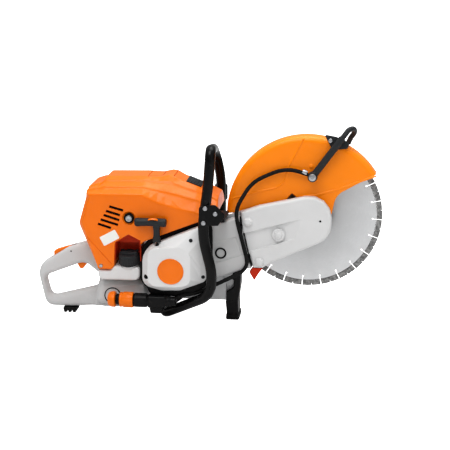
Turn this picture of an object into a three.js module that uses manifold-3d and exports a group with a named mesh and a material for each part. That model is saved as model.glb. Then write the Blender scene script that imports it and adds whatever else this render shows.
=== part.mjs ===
// A petrol-driven concrete cut-off saw, in millimetres: +X towards the blade, -Y the starter side, +Z up.
// The origin is the centre of the front foot's sole, on the floor. Shafts run along Y.
import * as THREE from "three";
import { mergeVertices } from "three/addons/utils/BufferGeometryUtils.js";
import Module from "manifold-3d";

const wasm = await Module();
wasm.setup();

// ---------------------------------------------------------------- driving dimensions
const GAP = 0.3; // clearance between neighbouring pieces
const CRANK = { x: -136, z: 141 }; // crankshaft axis
const SPINDLE = { x: 173, z: 261 }; // blade axis
const ENGINE_Y = 4; // centre of the cylinder
const CRANK_THROW = 18;
const CRANK_PIN_R = 8;
const WRIST_PIN_R = 6;
const ROD_LENGTH = 68;
const SHAFT_R = 10;
const BORE_R = 28;
const CHAMBER_R = 42; // room that the crank webs and the rod's big end turn in
const BEARING_R = 21;
const MAIN_BEARING = { near: -35, far: -19 }; // seat of the drive side crank bearing
const HUB = { near: -66, far: -51, arm: 32 }; // clutch hub, inside the starter side tub
const CYLINDER = { foot: 196.3, roof: 251, top: 290, halfX: 38, halfY: 30, fin: 3, pitch: 13 };

const BLADE = { radius: 175, thickness: 3.2, slots: 24, slotWidth: 3, slotFoot: 148, bore: 8 };
const FLANGE_R = 51;
const SPINDLE_R = 7.7;
const SPINDLE_BEARING_R = 16;
const BOSS_R = 27; // arm boss that carries the spindle bearing and the guard
const BELT = { width: 9.5, thickness: 4, y: -41.3 };
const DRIVE_R = 22;
const DRIVEN_R = 41;

const GUARD = { radius: 191, wall: 2.5, halfWidth: 26 };
const ARM_PLATE = { near: -35, far: -27.5 };
const ARM_COVER_Y = -54;
const BELT_COVER_Y = -62;
const TUB = { near: -61, floor: -31, far: -27 };
const SEAL = { near: -67.7, far: -61.3, overhang: 7 };
const STARTER = { rim: -68.3, face: -92, dome: -110, wall: 4 };
const PULLEY_Y = -93; // middle plane of the starter rope pulley
const ROPE_R = 2.2;
const ROPE_COIL_R = 32.5; // radius at which the rope leaves its pulley

const SHROUD = { near: -82, far: 78, wall: 3 };
const HANDLE_TUBE_R = 12;
const FOOT_TOP = 14; // height of the front foot
const GRIP_HALF_WIDTH = 18;
const HOSE_R = 4;
const COUPLING = { y: -95, z: 64 };
const CAP = { x: -241, y: -62, z: 141, tilt: 11, radius: 24.5 };

// ---------------------------------------------------------------- outlines
// Each corner is [x, z], or [x, z, radius] where it is rounded.
const starterOutline = rounded([
  [-204, 188, 45], [-54, 251, 14], [-54, 115, 14], [-116, 90, 20], [-160, 88, 40], [-205, 100, 24],
]);
const domeOutline = rounded([
  [-187, 193, 16], [-112, 200, 24], [-89, 182, 14], [-89, 110, 16], [-118, 103, 20], [-191, 103, 22],
]);
const shroudOutline = rounded([
  [-315, 133], [-281, 132], [-267, 150], [-216, 150], [-213, 198, 26], [-31, 270], [-33, 360],
  [-325, 360], [-329, 318], [-357, 240, 22],
]);
const handleOutline = rounded([
  [-318, 188], [-400, 165, 30], [-482, 113, 40], [-461, 13, 18], [-400, 13, 60], [-318, 21],
]);
const handleHole = rounded([
  [-460, 95, 12], [-362, 130, 26], [-324, 98, 16], [-332, 69, 14], [-450, 40, 12],
]);
const armOutline = rounded([
  [-53.5, 118], [-53.5, 237], [-28, 261.7], [-8, 261.7], [65, 287], [230, 324.8, 50],
  [230, 217.5, 50], [92, 154], [73, 141], [26, 138], [-31, 113],
]);
const armCoverOutline = rounded([
  [22, 273], [65, 289], [232, 327, 51], [232, 216, 51], [92, 152], [73, 139], [52, 139], [23, 229],
]);
const beltCoverOutline = rounded([
  [-51, 120], [-51, 241, 5], [19, 262], [20, 228], [47, 140], [30, 138], [-31, 113],
]);
// The side view of the room that the guard's round hood is cut to.
const guardOutline = rounded([
  [-40, 262], [-13, 262], [88, 281], [125, 297], [160, 305], [200, 300], [231, 267], [240, 313, 40],
  [309, 353], [345, 369], [360, 430], [300, 480], [100, 480], [-40, 420],
]);

function rounded(corners, steps = 4) {
  return corners.flatMap(([x, z, radius], i) => {
    if (!radius) return [[x, z]];
    const towards = ([otherX, otherZ]) => {
      const length = Math.hypot(otherX - x, otherZ - z);
      return [(otherX - x) / length, (otherZ - z) / length];
    };
    const [ax, az] = towards(corners.at(i - 1));
    const [bx, bz] = towards(corners[(i + 1) % corners.length]);
    const half = Math.acos(ax * bx + az * bz) / 2;
    const reach = radius / Math.tan(half);
    const depth = radius / Math.sin(half) / Math.hypot(ax + bx, az + bz);
    const centre = [x + (ax + bx) * depth, z + (az + bz) * depth];
    const from = [x + ax * reach - centre[0], z + az * reach - centre[1]];
    const to = [x + bx * reach - centre[0], z + bz * reach - centre[1]];
    const sweep = Math.atan2(from[0] * to[1] - from[1] * to[0], from[0] * to[0] + from[1] * to[1]);
    return Array.from({ length: steps + 1 }, (_, k) => {
      const [cos, sin] = [Math.cos((sweep * k) / steps), Math.sin((sweep * k) / steps)];
      return [centre[0] + from[0] * cos - from[1] * sin, centre[1] + from[0] * sin + from[1] * cos];
    });
  });
}

// ---------------------------------------------------------------- solids
// A closed three.js geometry as a solid, turned face out whichever way it was wound.
function solidOf(geometry) {
  const bare = new THREE.BufferGeometry();
  bare.setAttribute("position", geometry.getAttribute("position"));
  bare.setIndex(geometry.index);
  const merged = mergeVertices(bare, 1e-4);
  const corners = [];
  for (let i = 0; i < merged.index.count; i += 3) {
    const [a, b, c] = [0, 1, 2].map((k) => merged.index.getX(i + k));
    if (a !== b && b !== c && c !== a) corners.push(a, b, c);
  }
  const vertProperties = merged.attributes.position.array;
  const build = (list) =>
    new wasm.Manifold(new wasm.Mesh({ numProp: 3, vertProperties, triVerts: new Uint32Array(list) }));
  const solid = build(corners);
  return solid.volume() < 0 ? build(corners.reverse()) : solid;
}

const join = (...solids) => solids.reduce((sum, solid) => sum.add(solid));
const cut = (solid, ...tools) => tools.reduce((rest, tool) => rest.subtract(tool), solid);

function box(x0, x1, y0, y1, z0, z1) {
  const geometry = new THREE.BoxGeometry(x1 - x0, y1 - y0, z1 - z0);
  return solidOf(geometry.translate((x0 + x1) / 2, (y0 + y1) / 2, (z0 + z1) / 2));
}

// A round bar along Y, between two Y planes.
function disc(axis, radius, y0, y1, sides = 32) {
  const geometry = new THREE.CylinderGeometry(radius, radius, y1 - y0, sides);
  return solidOf(geometry.translate(axis.x, (y0 + y1) / 2, axis.z));
}

// A round bar along Z, between two heights.
function post(x, y, radius, z0, z1, sides = 24) {
  const geometry = new THREE.CylinderGeometry(radius, radius, z1 - z0, sides).rotateX(Math.PI / 2);
  return solidOf(geometry.translate(x, y, (z0 + z1) / 2));
}

// An [x, z] outline given thickness along Y.
function plate(outline, y0, y1, holes = []) {
  const shape = new THREE.Shape(outline.map(([x, z]) => new THREE.Vector2(x, z)));
  for (const hole of holes) {
    shape.holes.push(new THREE.Path(hole.map(([x, z]) => new THREE.Vector2(x, z))));
  }
  const geometry = new THREE.ExtrudeGeometry(shape, { depth: y1 - y0, bevelEnabled: false });
  return solidOf(geometry.rotateX(Math.PI / 2).translate(0, y1, 0));
}

// A [radius, y] profile turned round an axis along Y.
function turned(profile, axis, sides = 32) {
  const points = profile.map(([r, y]) => new THREE.Vector2(r, y));
  return solidOf(new THREE.LatheGeometry(points, sides).translate(axis.x, 0, axis.z));
}

// A closed ring profile turned round an axis along Y.
const ring = (inner, outer, y0, y1, axis, sides = 32) =>
  turned([[inner, y0], [outer, y0], [outer, y1], [inner, y1], [inner, y0]], axis, sides);

// Points along a bar that runs straight between [x, y, z, reach] corners and bends within reach of each.
function bent(corners) {
  return corners.flatMap(([x, y, z, reach], i) => {
    const corner = new THREE.Vector3(x, y, z);
    if (!reach) return [corner];
    const towards = ([otherX, otherY, otherZ]) =>
      new THREE.Vector3(otherX, otherY, otherZ).sub(corner).setLength(reach).add(corner);
    const bend = new THREE.QuadraticBezierCurve3(towards(corners[i - 1]), corner, towards(corners[i + 1]));
    return bend.getPoints(4);
  });
}

// A round bar along a bent line.
function tube(corners, radius, steps, sides) {
  const curve = new THREE.CatmullRomCurve3(bent(corners), false, "centripetal");
  const section = new THREE.Shape();
  section.absarc(0, 0, radius, 0, 2 * Math.PI);
  const options = { steps, curveSegments: sides / 2, extrudePath: curve, bevelEnabled: false };
  return solidOf(new THREE.ExtrudeGeometry(section, options));
}

// Rings of [x, y, z] points joined side to side, with a flat fan at each end.
function loft(rings) {
  const count = rings[0].length;
  const index = [];
  for (let r = 0; r + 1 < rings.length; r++)
    for (let i = 0; i < count; i++) {
      const [a, b] = [r * count + i, r * count + ((i + 1) % count)];
      index.push(a, b, b + count, a, b + count, a + count);
    }
  const last = (rings.length - 1) * count;
  for (let i = 1; i + 1 < count; i++) index.push(0, i + 1, i, last, last + i, last + i + 1);
  const geometry = new THREE.BufferGeometry();
  geometry.setAttribute("position", new THREE.Float32BufferAttribute(rings.flat(2), 3));
  geometry.setIndex(index);
  return solidOf(geometry);
}

// The same outline moved inwards by a distance, or outwards by a negative one.
function inset(outline, distance) {
  const area = outline.reduce((sum, [x, z], i) => {
    const [nx, nz] = outline[(i + 1) % outline.length];
    return sum + x * nz - nx * z;
  }, 0);
  const side = Math.sign(area) * distance;
  const normal = ([ax, az], [bx, bz]) => {
    const length = Math.hypot(bx - ax, bz - az);
    return [-(bz - az) / length, (bx - ax) / length];
  };
  return outline.map((point, i) => {
    const before = normal(outline.at(i - 1), point);
    const after = normal(point, outline[(i + 1) % outline.length]);
    const scale = side / (1 + before[0] * after[0] + before[1] * after[1]);
    return [point[0] + (before[0] + after[0]) * scale, point[1] + (before[1] + after[1]) * scale];
  });
}

// The outline of a belt round both pulleys, grown outwards from the pulley rims.
function beltOutline(growth) {
  const [dx, dz] = [SPINDLE.x - CRANK.x, SPINDLE.z - CRANK.z];
  const slope = Math.atan2(dz, dx);
  const wrap = Math.acos((DRIVE_R - DRIVEN_R) / Math.hypot(dx, dz));
  const arc = (axis, radius, from, to, steps) =>
    Array.from({ length: steps + 1 }, (_, i) => {
      const angle = from + ((to - from) * i) / steps;
      return [axis.x + radius * Math.cos(angle), axis.z + radius * Math.sin(angle)];
    });
  return [
    ...arc(SPINDLE, DRIVEN_R + growth, slope - wrap, slope + wrap, 16),
    ...arc(CRANK, DRIVE_R + growth, slope + wrap, slope + 2 * Math.PI - wrap, 10),
  ];
}

// ---------------------------------------------------------------- engine
function crankcase() {
  const outside = join(
    disc(CRANK, 50, TUB.far, 34),
    plate([[-172, 100], [-150, 50], [-15, 50], [-15, 98]], TUB.far, 27),
    box(-100, -22, TUB.far, 20, 90, 170),
    box(-168, -104, TUB.far, 34, 150, CYLINDER.foot - GAP),
  );
  const tub = cut(
    plate(starterOutline, TUB.near, TUB.far),
    plate(inset(starterOutline, 5), TUB.near - 1, TUB.floor),
    box(-65, -40, TUB.near - 1, TUB.floor, 132, 225),
  );
  const crankChamber = disc(CRANK, CHAMBER_R, MAIN_BEARING.far, 27, 40);
  const shaftBore = disc(CRANK, SHAFT_R + 3, -50, 50);
  const bearingSeats = join(
    disc(CRANK, BEARING_R, MAIN_BEARING.near, MAIN_BEARING.far),
    disc(CRANK, BEARING_R, 27, 40),
  );
  const cylinderMouth = post(CRANK.x, ENGINE_Y, BORE_R + 1, CRANK.z, CYLINDER.foot);
  return cut(join(outside, tub), crankChamber, shaftBore, bearingSeats, cylinderMouth);
}

function cylinder() {
  const { foot, roof, top, halfX, halfY, fin, pitch } = CYLINDER;
  const near = ENGINE_Y - halfY;
  const far = ENGINE_Y + halfY;
  const fins = [];
  for (let z = foot + pitch; z < top; z += pitch)
    fins.push(box(CRANK.x - halfX, CRANK.x + halfX, near, far, z, z + fin));
  const barrel = post(CRANK.x, ENGINE_Y, BORE_R + 2.5, foot, top);
  const base = box(CRANK.x - 32, CRANK.x + 32, near, far, foot, foot + 5);
  const sparkPlugSeat = post(CRANK.x, ENGINE_Y, 7, roof + 20, top + 1, 12);
  return cut(join(barrel, base, ...fins), post(CRANK.x, ENGINE_Y, BORE_R, foot - 1, roof), sparkPlugSeat);
}

function sparkPlug() {
  const { x } = CRANK;
  return join(
    post(x, ENGINE_Y, 6.5, CYLINDER.top - 12, CYLINDER.top + 2, 12),
    post(x, ENGINE_Y, 11, CYLINDER.top + GAP, CYLINDER.top + 9, 6),
    post(x, ENGINE_Y, 6, CYLINDER.top + 8, CYLINDER.top + 28, 12),
  );
}

// One half of the built-up crankshaft: a web with the shaft on its outer side.
const crankHalf = (webY0, webY1, shaftY0, shaftY1) =>
  join(disc(CRANK, 33, webY0, webY1, 40), disc(CRANK, SHAFT_R, shaftY0, shaftY1, 24));

const crankPinAxis = { x: CRANK.x, z: CRANK.z + CRANK_THROW };
const wristPinAxis = { x: CRANK.x, z: CRANK.z + CRANK_THROW + ROD_LENGTH };

function connectingRod() {
  const near = ENGINE_Y - 6;
  const far = ENGINE_Y + 6;
  const shank = box(CRANK.x - 5, CRANK.x + 5, near + 2, far - 2, crankPinAxis.z + 10, wristPinAxis.z - 8);
  const eyes = join(disc(crankPinAxis, 13.5, near, far, 24), disc(wristPinAxis, 10, near, far, 24));
  return cut(
    join(shank, eyes),
    disc(crankPinAxis, CRANK_PIN_R + GAP, near - 1, far + 1, 20),
    disc(wristPinAxis, WRIST_PIN_R + GAP, near - 1, far + 1, 20),
  );
}

function piston() {
  const crown = wristPinAxis.z + 22;
  const skirt = wristPinAxis.z - 14;
  return cut(
    post(CRANK.x, ENGINE_Y, BORE_R - 0.5, skirt, crown, 32),
    post(CRANK.x, ENGINE_Y, BORE_R - 4.5, skirt - 1, crown - 8, 24),
    disc(wristPinAxis, WRIST_PIN_R + GAP, -40, 40, 20),
  );
}

function flywheel() {
  const vanes = [];
  for (let i = 0; i < 12; i++) {
    const vane = box(26, 49, 43, 58, -1.4, 1.4).rotate([0, i * 30, 0]);
    vanes.push(vane.translate([CRANK.x, 0, CRANK.z]));
  }
  const hub = ring(SHAFT_R + GAP, 18, 37, 56, CRANK, 24);
  return join(ring(SHAFT_R + GAP, 50, 37, 44, CRANK, 36), hub, ...vanes);
}

function fanHousing() {
  const outer = disc(CRANK, 66, 34 + GAP, 74, 36);
  const inner = disc(CRANK, 62, 36.3, 71, 36);
  const crankcaseHole = disc(CRANK, 24, 30, 40, 24);
  const ductMouth = box(-168, -104, 34, 71, 184, 212);
  const inlets = [];
  for (let z = -36; z <= 36; z += 12) {
    const reach = Math.sqrt(50 ** 2 - z ** 2);
    inlets.push(box(CRANK.x - reach, CRANK.x + reach, 70, 75, CRANK.z + z - 2.5, CRANK.z + z + 2.5));
  }
  const rib = box(CRANK.x - 3, CRANK.x + 3, 71 - GAP, 74, CRANK.z - 60, CRANK.z + 60);
  return join(cut(outer, inner, crankcaseHole, ductMouth, ...inlets), rib);
}

const ignitionModule = () =>
  join(box(-156, -116, 40, 54, 194, 207), box(-148, -140, 40, 50, 192.5, 195));

const muffler = () =>
  join(
    box(-95, -46, -22, 33, 176, 252), // silencer can
    box(-97.6, -94, -6, 24, 205, 230), // exhaust flange
    box(-60, -43, 10, 30, 170.3, 177), // outlet
  );

const carburettor = () =>
  join(
    box(-212, -176, -18, 26, 204, 242), // body
    box(-177, -174.4, -10, 18, 212, 234), // flange on the cylinder side
    box(-221.6, -211, -14, 22, 208, 238), // intake against the filter
  );

const airFilter = () => box(-318, -222, -52, 52, 200, 306);

// ---------------------------------------------------------------- clutch and belt drive
const clutchHub = () =>
  cut(
    join(
      disc(CRANK, 14, HUB.near, HUB.far, 24),
      box(CRANK.x - 3.5, CRANK.x + 3.5, HUB.near, HUB.far, CRANK.z - HUB.arm, CRANK.z + HUB.arm),
    ),
    disc(CRANK, SHAFT_R + GAP, HUB.near - 1, HUB.far + 1, 24),
  );

// A clutch weight: the part of a ring on one side of the hub's arms.
function clutchShoe(direction) {
  const weight = ring(16, 33.5, -65, -52, CRANK, 40);
  const wedge = [
    [CRANK.x + direction * 5, CRANK.z - 40], [CRANK.x + direction * 40, CRANK.z - 40],
    [CRANK.x + direction * 40, CRANK.z + 40], [CRANK.x + direction * 5, CRANK.z + 40],
  ];
  return weight.intersect(plate(wedge, -70, -50));
}

const clutchDrum = () =>
  turned([
    [SHAFT_R + 0.5, -34], [DRIVE_R, -34], [DRIVE_R, -47.5], [38.5, -47.5], [38.5, -67],
    [36, -67], [36, -50], [SHAFT_R + 0.5, -50], [SHAFT_R + 0.5, -34],
  ], CRANK, 32);

const belt = () => {
  const near = BELT.y - BELT.width / 2;
  const far = BELT.y + BELT.width / 2;
  return plate(beltOutline(GAP + BELT.thickness), near, far, [beltOutline(GAP)]);
};

// ---------------------------------------------------------------- starter
function starterCover() {
  const ringAt = (outline, y) => outline.map(([x, z]) => [x, y, z]);
  const shell = (distance, lift) => {
    const rim = inset(starterOutline, distance);
    const dome = inset(domeOutline, distance);
    const rings = [ringAt(rim, STARTER.rim + lift), ringAt(rim, STARTER.face + distance)];
    return loft([...rings, ringAt(dome, STARTER.dome + distance)]);
  };
  const ropeHole = post(CRANK.x - ROPE_COIL_R, PULLEY_Y, 5, 180, 225, 12);
  const hubPost = disc(CRANK, 6, -107, -84, 16);
  return join(cut(shell(0, 0), shell(STARTER.wall, 1), ropeHole), hubPost);
}

const ropePulley = () =>
  turned([
    [6.5, -99], [35, -99], [35, -97], [30, -95], [30, -91], [35, -89], [35, -87], [6.5, -87], [6.5, -99],
  ], CRANK, 28);

// A flat coil spring: a thin strip wound in a spiral.
function recoilSpring() {
  const turns = 3;
  const steps = 48;
  const strip = 1.2;
  const spiral = (offset) =>
    Array.from({ length: steps + 1 }, (_, i) => {
      const angle = (turns * 2 * Math.PI * i) / steps;
      const radius = 10 + (20 * i) / steps + offset;
      return [CRANK.x + radius * Math.cos(angle), CRANK.z + radius * Math.sin(angle)];
    });
  return plate([...spiral(strip), ...spiral(0).reverse()], -105, -100);
}

function starterGrip() {
  const stemX = CRANK.x - ROPE_COIL_R;
  const stemFoot = 209;
  const bar = tube([[-222, PULLEY_Y, 250], [-183, PULLEY_Y, 253, 15], [-144, PULLEY_Y, 251]], 10.3, 6, 12);
  const stem = loft([
    [[stemX - 9, PULLEY_Y - 8, stemFoot], [stemX + 9, PULLEY_Y - 8, stemFoot],
      [stemX + 9, PULLEY_Y + 8, stemFoot], [stemX - 9, PULLEY_Y + 8, stemFoot]],
    [[stemX - 7, PULLEY_Y - 6, 225], [stemX + 7, PULLEY_Y - 6, 225],
      [stemX + 7, PULLEY_Y + 6, 225], [stemX - 7, PULLEY_Y + 6, 225]],
    [[stemX - 10, PULLEY_Y - 7, 250], [stemX + 8, PULLEY_Y - 7, 250],
      [stemX + 8, PULLEY_Y + 7, 250], [stemX - 10, PULLEY_Y + 7, 250]],
  ]);
  return join(bar, stem);
}

const starterRope = () => post(CRANK.x - ROPE_COIL_R, PULLEY_Y, ROPE_R, CRANK.z, 209 - GAP, 10);

const coverSeal = () =>
  cut(
    plate(inset(starterOutline, -SEAL.overhang), SEAL.near, SEAL.far),
    plate(inset(starterOutline, 5), SEAL.near - 1, SEAL.far + 1),
    box(-53.5, -30, SEAL.near - 1, SEAL.far + 1, 60, 300),
  );

// ---------------------------------------------------------------- housing
// The hood's section across the machine at one station: a flat top with sloping shoulders.
function hoodRing(x, top, shoulder, inward) {
  const near = SHROUD.near + inward;
  const far = SHROUD.far - inward;
  const roof = top - inward;
  const floor = 90;
  return [
    [x, near, floor], [x, near, roof - shoulder], [x, near + 13, roof - shoulder * 0.55],
    [x, near + 33, roof - shoulder * 0.18], [x, near + 50, roof], [x, far - 44, roof],
    [x, far - 28, roof - shoulder * 0.18], [x, far - 11, roof - shoulder * 0.55],
    [x, far, roof - shoulder], [x, far, floor],
  ];
}

function shroud() {
  // station x, roof height, depth of the shoulder
  const stations = [
    [-370, 334, 22], [-325, 334, 24], [-297, 343, 29], [-205, 344, 29], [-170, 344, 46],
    [-148, 350, 50], [-138, 349, 54], [-118, 341, 55], [-80, 327, 52], [-44, 312, 46], [-20, 300, 40],
  ];
  const hood = (inward) => loft(stations.map(([x, top, shoulder]) => hoodRing(x, top, shoulder, inward)));
  const outside = hood(0).intersect(plate(shroudOutline, -100, 100));
  // The inside runs out through the open underside, except at the rear wall.
  const underside = 275;
  const insideOutline = inset(shroudOutline, SHROUD.wall)
    .map(([x, z]) => [x, z < underside && x > -320 ? z - 30 : z]);
  const inside = hood(SHROUD.wall).intersect(plate(insideOutline, -100, 100));
  const capTunnel = plate([[-272, 100], [-268, 200], [-240, 219], [-209, 206], [-209, 100]], -100, -34);
  const gripMouth = plate(inset(handleOutline, -1.5), -GRIP_HALF_WIDTH - 1.5, GRIP_HALF_WIDTH + 1.5);
  const buttonHole = disc({ x: -236, z: 258 }, 9.5, -100, -70, 16);
  return cut(outside, inside, capTunnel, gripMouth, buttonHole);
}

const capAxis = (solid) => solid.rotate([CAP.tilt, 0, 0]).translate([CAP.x, CAP.y, CAP.z]);

function fuelTank() {
  const outline = rounded([
    [-314, 105, 10], [-213, 105, 10], [-215, 141], [-277, 141], [-284, 128.5], [-314, 128.5],
  ]);
  const neck = capAxis(post(0, 0, 18, -6, 9));
  const filler = capAxis(post(0, 0, 14, -20, 20));
  return cut(join(plate(outline, -77, 72), neck), plate(inset(outline, 3), -74, 69), filler);
}

function fuelCap() {
  const body = join(post(0, 0, CAP.radius, 3, 24, 32), box(-21, 21, -3.5, 3.5, 23, 29));
  return capAxis(cut(body, post(0, 0, 18.6, 0, 12)));
}

function rearHandle() {
  const loop = plate(handleOutline, -GRIP_HALF_WIDTH, GRIP_HALF_WIDTH, [handleHole]);
  const frame = plate([[-330, 21], [-232, 24], [-200, 42], [-200, 97], [-312, 97], [-322, 60]], -58, 58);
  const triggerSlot = box(-389, -338, -8, 8, 100, 148);
  const leverSlot = plate([[-446, 129], [-388, 152], [-380, 200], [-446, 200]], -8, 8);
  return cut(join(loop, frame), triggerSlot, leverSlot);
}

const trigger = () =>
  plate(rounded([
    [-384, 136], [-384, 126], [-375, 109, 4], [-367, 109, 5], [-358, 122, 12], [-341, 126, 4], [-343, 143],
  ]), -7, 7);

const lockout = () =>
  plate(rounded([[-441, 140], [-441, 156, 4], [-399, 170, 5], [-388, 167, 2], [-391, 160], [-398, 158]]), -7, 7);

function rearFoot() {
  const halfWidth = 20;
  const teeth = [-417, -401, -385].map((x) =>
    plate([[x - 5, 0], [x + 5, 0], [x + 6, 8], [x - 6, 8]], -halfWidth, halfWidth));
  return join(box(-424, -378, -halfWidth, halfWidth, 7, 13 - GAP), ...teeth);
}

const frontHandlePath = [
  [-165, 22, 13], [-165, -34, 13, 20], [-44, -112, 86, 28], [-36, -112, 135, 28], [-61, -112, 236, 36],
  [-46, -112, 345, 30], [-40, -112, 430, 28], [-62, 112, 390, 34], [-44, 112, 330, 40],
  [-44, 112, 92, 32], [-150, 56, 24, 16], [-158, 46, 20],
];
const frontHandle = () => tube(frontHandlePath, HANDLE_TUBE_R, 66, 12);

const nearBracket = () =>
  join(
    plate(rounded([[-66, 257, 6], [-65, 303, 7], [-28, 307, 10], [-7, 286, 8], [-7, 259, 6]]), -128.5, -124.8),
    box(-27, -9, -128, -28, 262, 270),
  );

const farBracket = () =>
  join(
    plate(rounded([[-62, 258, 6], [-62, 300, 6], [-30, 300, 6], [-30, 258, 6]]), 124.8, 128.5),
    box(-88, -57.5, 78 + GAP, 84, 262, 292),
    box(-70, -60, 78 + GAP, 128, 268, 286),
  );

function frontLeg() {
  const leg = plate([
    [4, 118], [4, 78], [-14.5, 60], [-14.5, 49], [-17, 47], [-14, FOOT_TOP + GAP],
    [14, FOOT_TOP + GAP], [13, 49], [18, 84], [18, 118],
  ], -26, 26);
  return join(leg, box(0, 18, -27.2, -18, 100, 150));
}

const frontFoot = () => box(-15.5, 15.5, -27, 27, 0, FOOT_TOP);

// ---------------------------------------------------------------- cutting arm
function arm() {
  const boss = disc(SPINDLE, BOSS_R, ARM_PLATE.far - 1, -12.5, 40);
  const bearingSeat = disc(SPINDLE, SPINDLE_BEARING_R + GAP, -40, 0, 32);
  return cut(join(plate(armOutline, ARM_PLATE.near, ARM_PLATE.far), boss), bearingSeat);
}

// A cover over the belt: closed outside, open towards the arm and where the belt runs in.
function beltShell(outline, face, passage) {
  const wall = 3.5;
  const room = join(plate(inset(outline, wall), face + wall, -30), plate(passage, face + wall, -30));
  return cut(plate(outline, face, ARM_PLATE.near - GAP), room);
}

const armCover = () =>
  beltShell(armCoverOutline, ARM_COVER_Y, [[10, 180], [10, 250], [50, 264], [60, 200], [50, 164]]);

const beltCover = () =>
  beltShell(beltCoverOutline, BELT_COVER_Y, [[-70, 134], [-70, 224], [60, 260], [60, 152]]);

const armNut = (x, z) => disc({ x, z }, 10, ARM_COVER_Y - 6.5, ARM_COVER_Y - GAP, 6);

const deflector = () => plate([[42, 128], [54, 108], [66, 128], [74, 138.5], [50, 138.5]], -50, -30);

// ---------------------------------------------------------------- blade drive
const drivenPulley = () =>
  turned([
    [SPINDLE_R + GAP, -47.5], [16, -47.5], [16, -43], [34, -43], [34, -46.5], [DRIVEN_R, -46.5],
    [DRIVEN_R, -36.2], [34, -36.2], [34, -39], [16, -39], [16, -35.4], [SPINDLE_R + GAP, -35.4],
    [SPINDLE_R + GAP, -47.5],
  ], SPINDLE, 32);

// A clamping washer whose outer rim alone presses on the blade.
const flange = (rimY, hubY) => {
  const outward = Math.sign(hubY - rimY);
  return turned([
    [SPINDLE_R + GAP, rimY + outward], [FLANGE_R - 8, rimY + outward], [FLANGE_R - 8, rimY], [FLANGE_R, rimY],
    [FLANGE_R, rimY + outward * 4], [22, hubY], [SPINDLE_R + GAP, hubY], [SPINDLE_R + GAP, rimY + outward],
  ], SPINDLE, 28);
};

// The diamond blade: a disc with a keyhole slot between every two cutting segments.
function blade() {
  const pitch = (2 * Math.PI) / BLADE.slots;
  const half = BLADE.slotWidth / 2;
  const outline = [];
  const at = (angle, radius, across) =>
    outline.push([
      SPINDLE.x + radius * Math.cos(angle) - across * Math.sin(angle),
      SPINDLE.z + radius * Math.sin(angle) + across * Math.cos(angle),
    ]);
  const edge = Math.sqrt(BLADE.radius ** 2 - half ** 2);
  for (let i = 0; i < BLADE.slots; i++) {
    const angle = i * pitch;
    at(angle, edge, -half);
    at(angle, BLADE.slotFoot + 3, -half);
    at(angle, BLADE.slotFoot, -2.5);
    at(angle, BLADE.slotFoot - 2.5, 0);
    at(angle, BLADE.slotFoot, 2.5);
    at(angle, BLADE.slotFoot + 3, half);
    at(angle, edge, half);
    at(angle + pitch / 3, BLADE.radius, 0);
    at(angle + (2 * pitch) / 3, BLADE.radius, 0);
  }
  const bore = Array.from({ length: 24 }, (_, i) => {
    const angle = (2 * Math.PI * i) / 24;
    return [SPINDLE.x + BLADE.bore * Math.cos(angle), SPINDLE.z + BLADE.bore * Math.sin(angle)];
  });
  return plate(outline, -BLADE.thickness / 2, BLADE.thickness / 2, [bore]);
}

const arborBolt = () =>
  join(disc(SPINDLE, 15, 12.5, 15.5, 24), disc(SPINDLE, 11, 15, 24, 6));

// ---------------------------------------------------------------- guard
function guardShell() {
  const { radius, wall, halfWidth } = GUARD;
  const drum = cut(
    disc(SPINDLE, radius, -halfWidth, halfWidth, 96),
    disc(SPINDLE, radius - wall, -halfWidth + wall, halfWidth - wall, 96),
  );
  const hood = drum.intersect(plate(guardOutline, -40, 40));
  const pivotDisc = disc(SPINDLE, 46, -halfWidth, -halfWidth + wall, 40);
  return cut(join(hood, pivotDisc), disc(SPINDLE, BOSS_R + 0.6, -40, 0, 40));
}

const guardBracket = () =>
  plate(
    rounded([[203, 442, 8], [214, 461, 10], [276, 441, 14], [258, 420, 6], [240, 432, 6], [230, 418, 5]]),
    -GUARD.halfWidth - 7,
    -GUARD.halfWidth - GAP,
  );

function guardHandle() {
  const bar = tube([
    [187, -40, 361], [262, -40, 466, 14], [277, -26, 480, 8], [276, -4, 474, 8], [266, 2, 460],
  ], 6.5, 22, 10);
  const nozzle = disc({ x: 186, z: 359 }, 9, -48, -27, 24);
  return join(bar, nozzle);
}

// ---------------------------------------------------------------- water supply
const hosePath = [
  [-127, -92, 70], [-108, -85, 79, 12], [-80, -80, 80, 14], [37, -67, 138, 18], [39, -67, 162, 10],
  [9, -68, 280, 26], [46, -37, 342, 26], [126, -35, 379, 36], [176, -40, 363],
];
const hose = () => tube(hosePath, HOSE_R, 48, 8);

// A [radius, x] profile turned round the coupling's own axis along X.
function turnedAlongX(profile, sides = 24) {
  const points = profile.map(([r, x]) => new THREE.Vector2(r, x));
  const geometry = new THREE.LatheGeometry(points, sides).rotateZ(-Math.PI / 2);
  return solidOf(geometry.translate(0, COUPLING.y, COUPLING.z));
}

const waterCoupling = () =>
  turnedAlongX([
    [0, -287], [12, -287], [17, -281], [17, -269], [12, -267], [12, -225], [16, -225], [16, -193],
    [13.5, -191], [13.5, -150], [9, -132], [0, -132],
  ]);

const couplingSleeve = () =>
  turnedAlongX([[12.5, -258], [17, -258], [18.5, -256], [18.5, -226], [12.5, -226], [12.5, -258]]);

// ---------------------------------------------------------------- materials
const paint = (color, roughness, metalness = 0) => ({ color, roughness, metalness });
const ORANGE = paint(0xf0750f, 0.35);
const WHITE = paint(0xe4e4e6, 0.4);
const GREY = paint(0xb9babd, 0.5);
const BLACK = paint(0x141414, 0.3);
const RUBBER = paint(0x1c1c1c, 0.85);
const DARK = paint(0x3a3d3f, 0.6);
const RED = paint(0xb43c19, 0.5);
const STEEL = paint(0xb4b6b8, 0.3, 1);
const CAST = paint(0x9a9c9e, 0.5, 0.8);
const FILTER = paint(0xd8cfae, 0.9);

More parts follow.
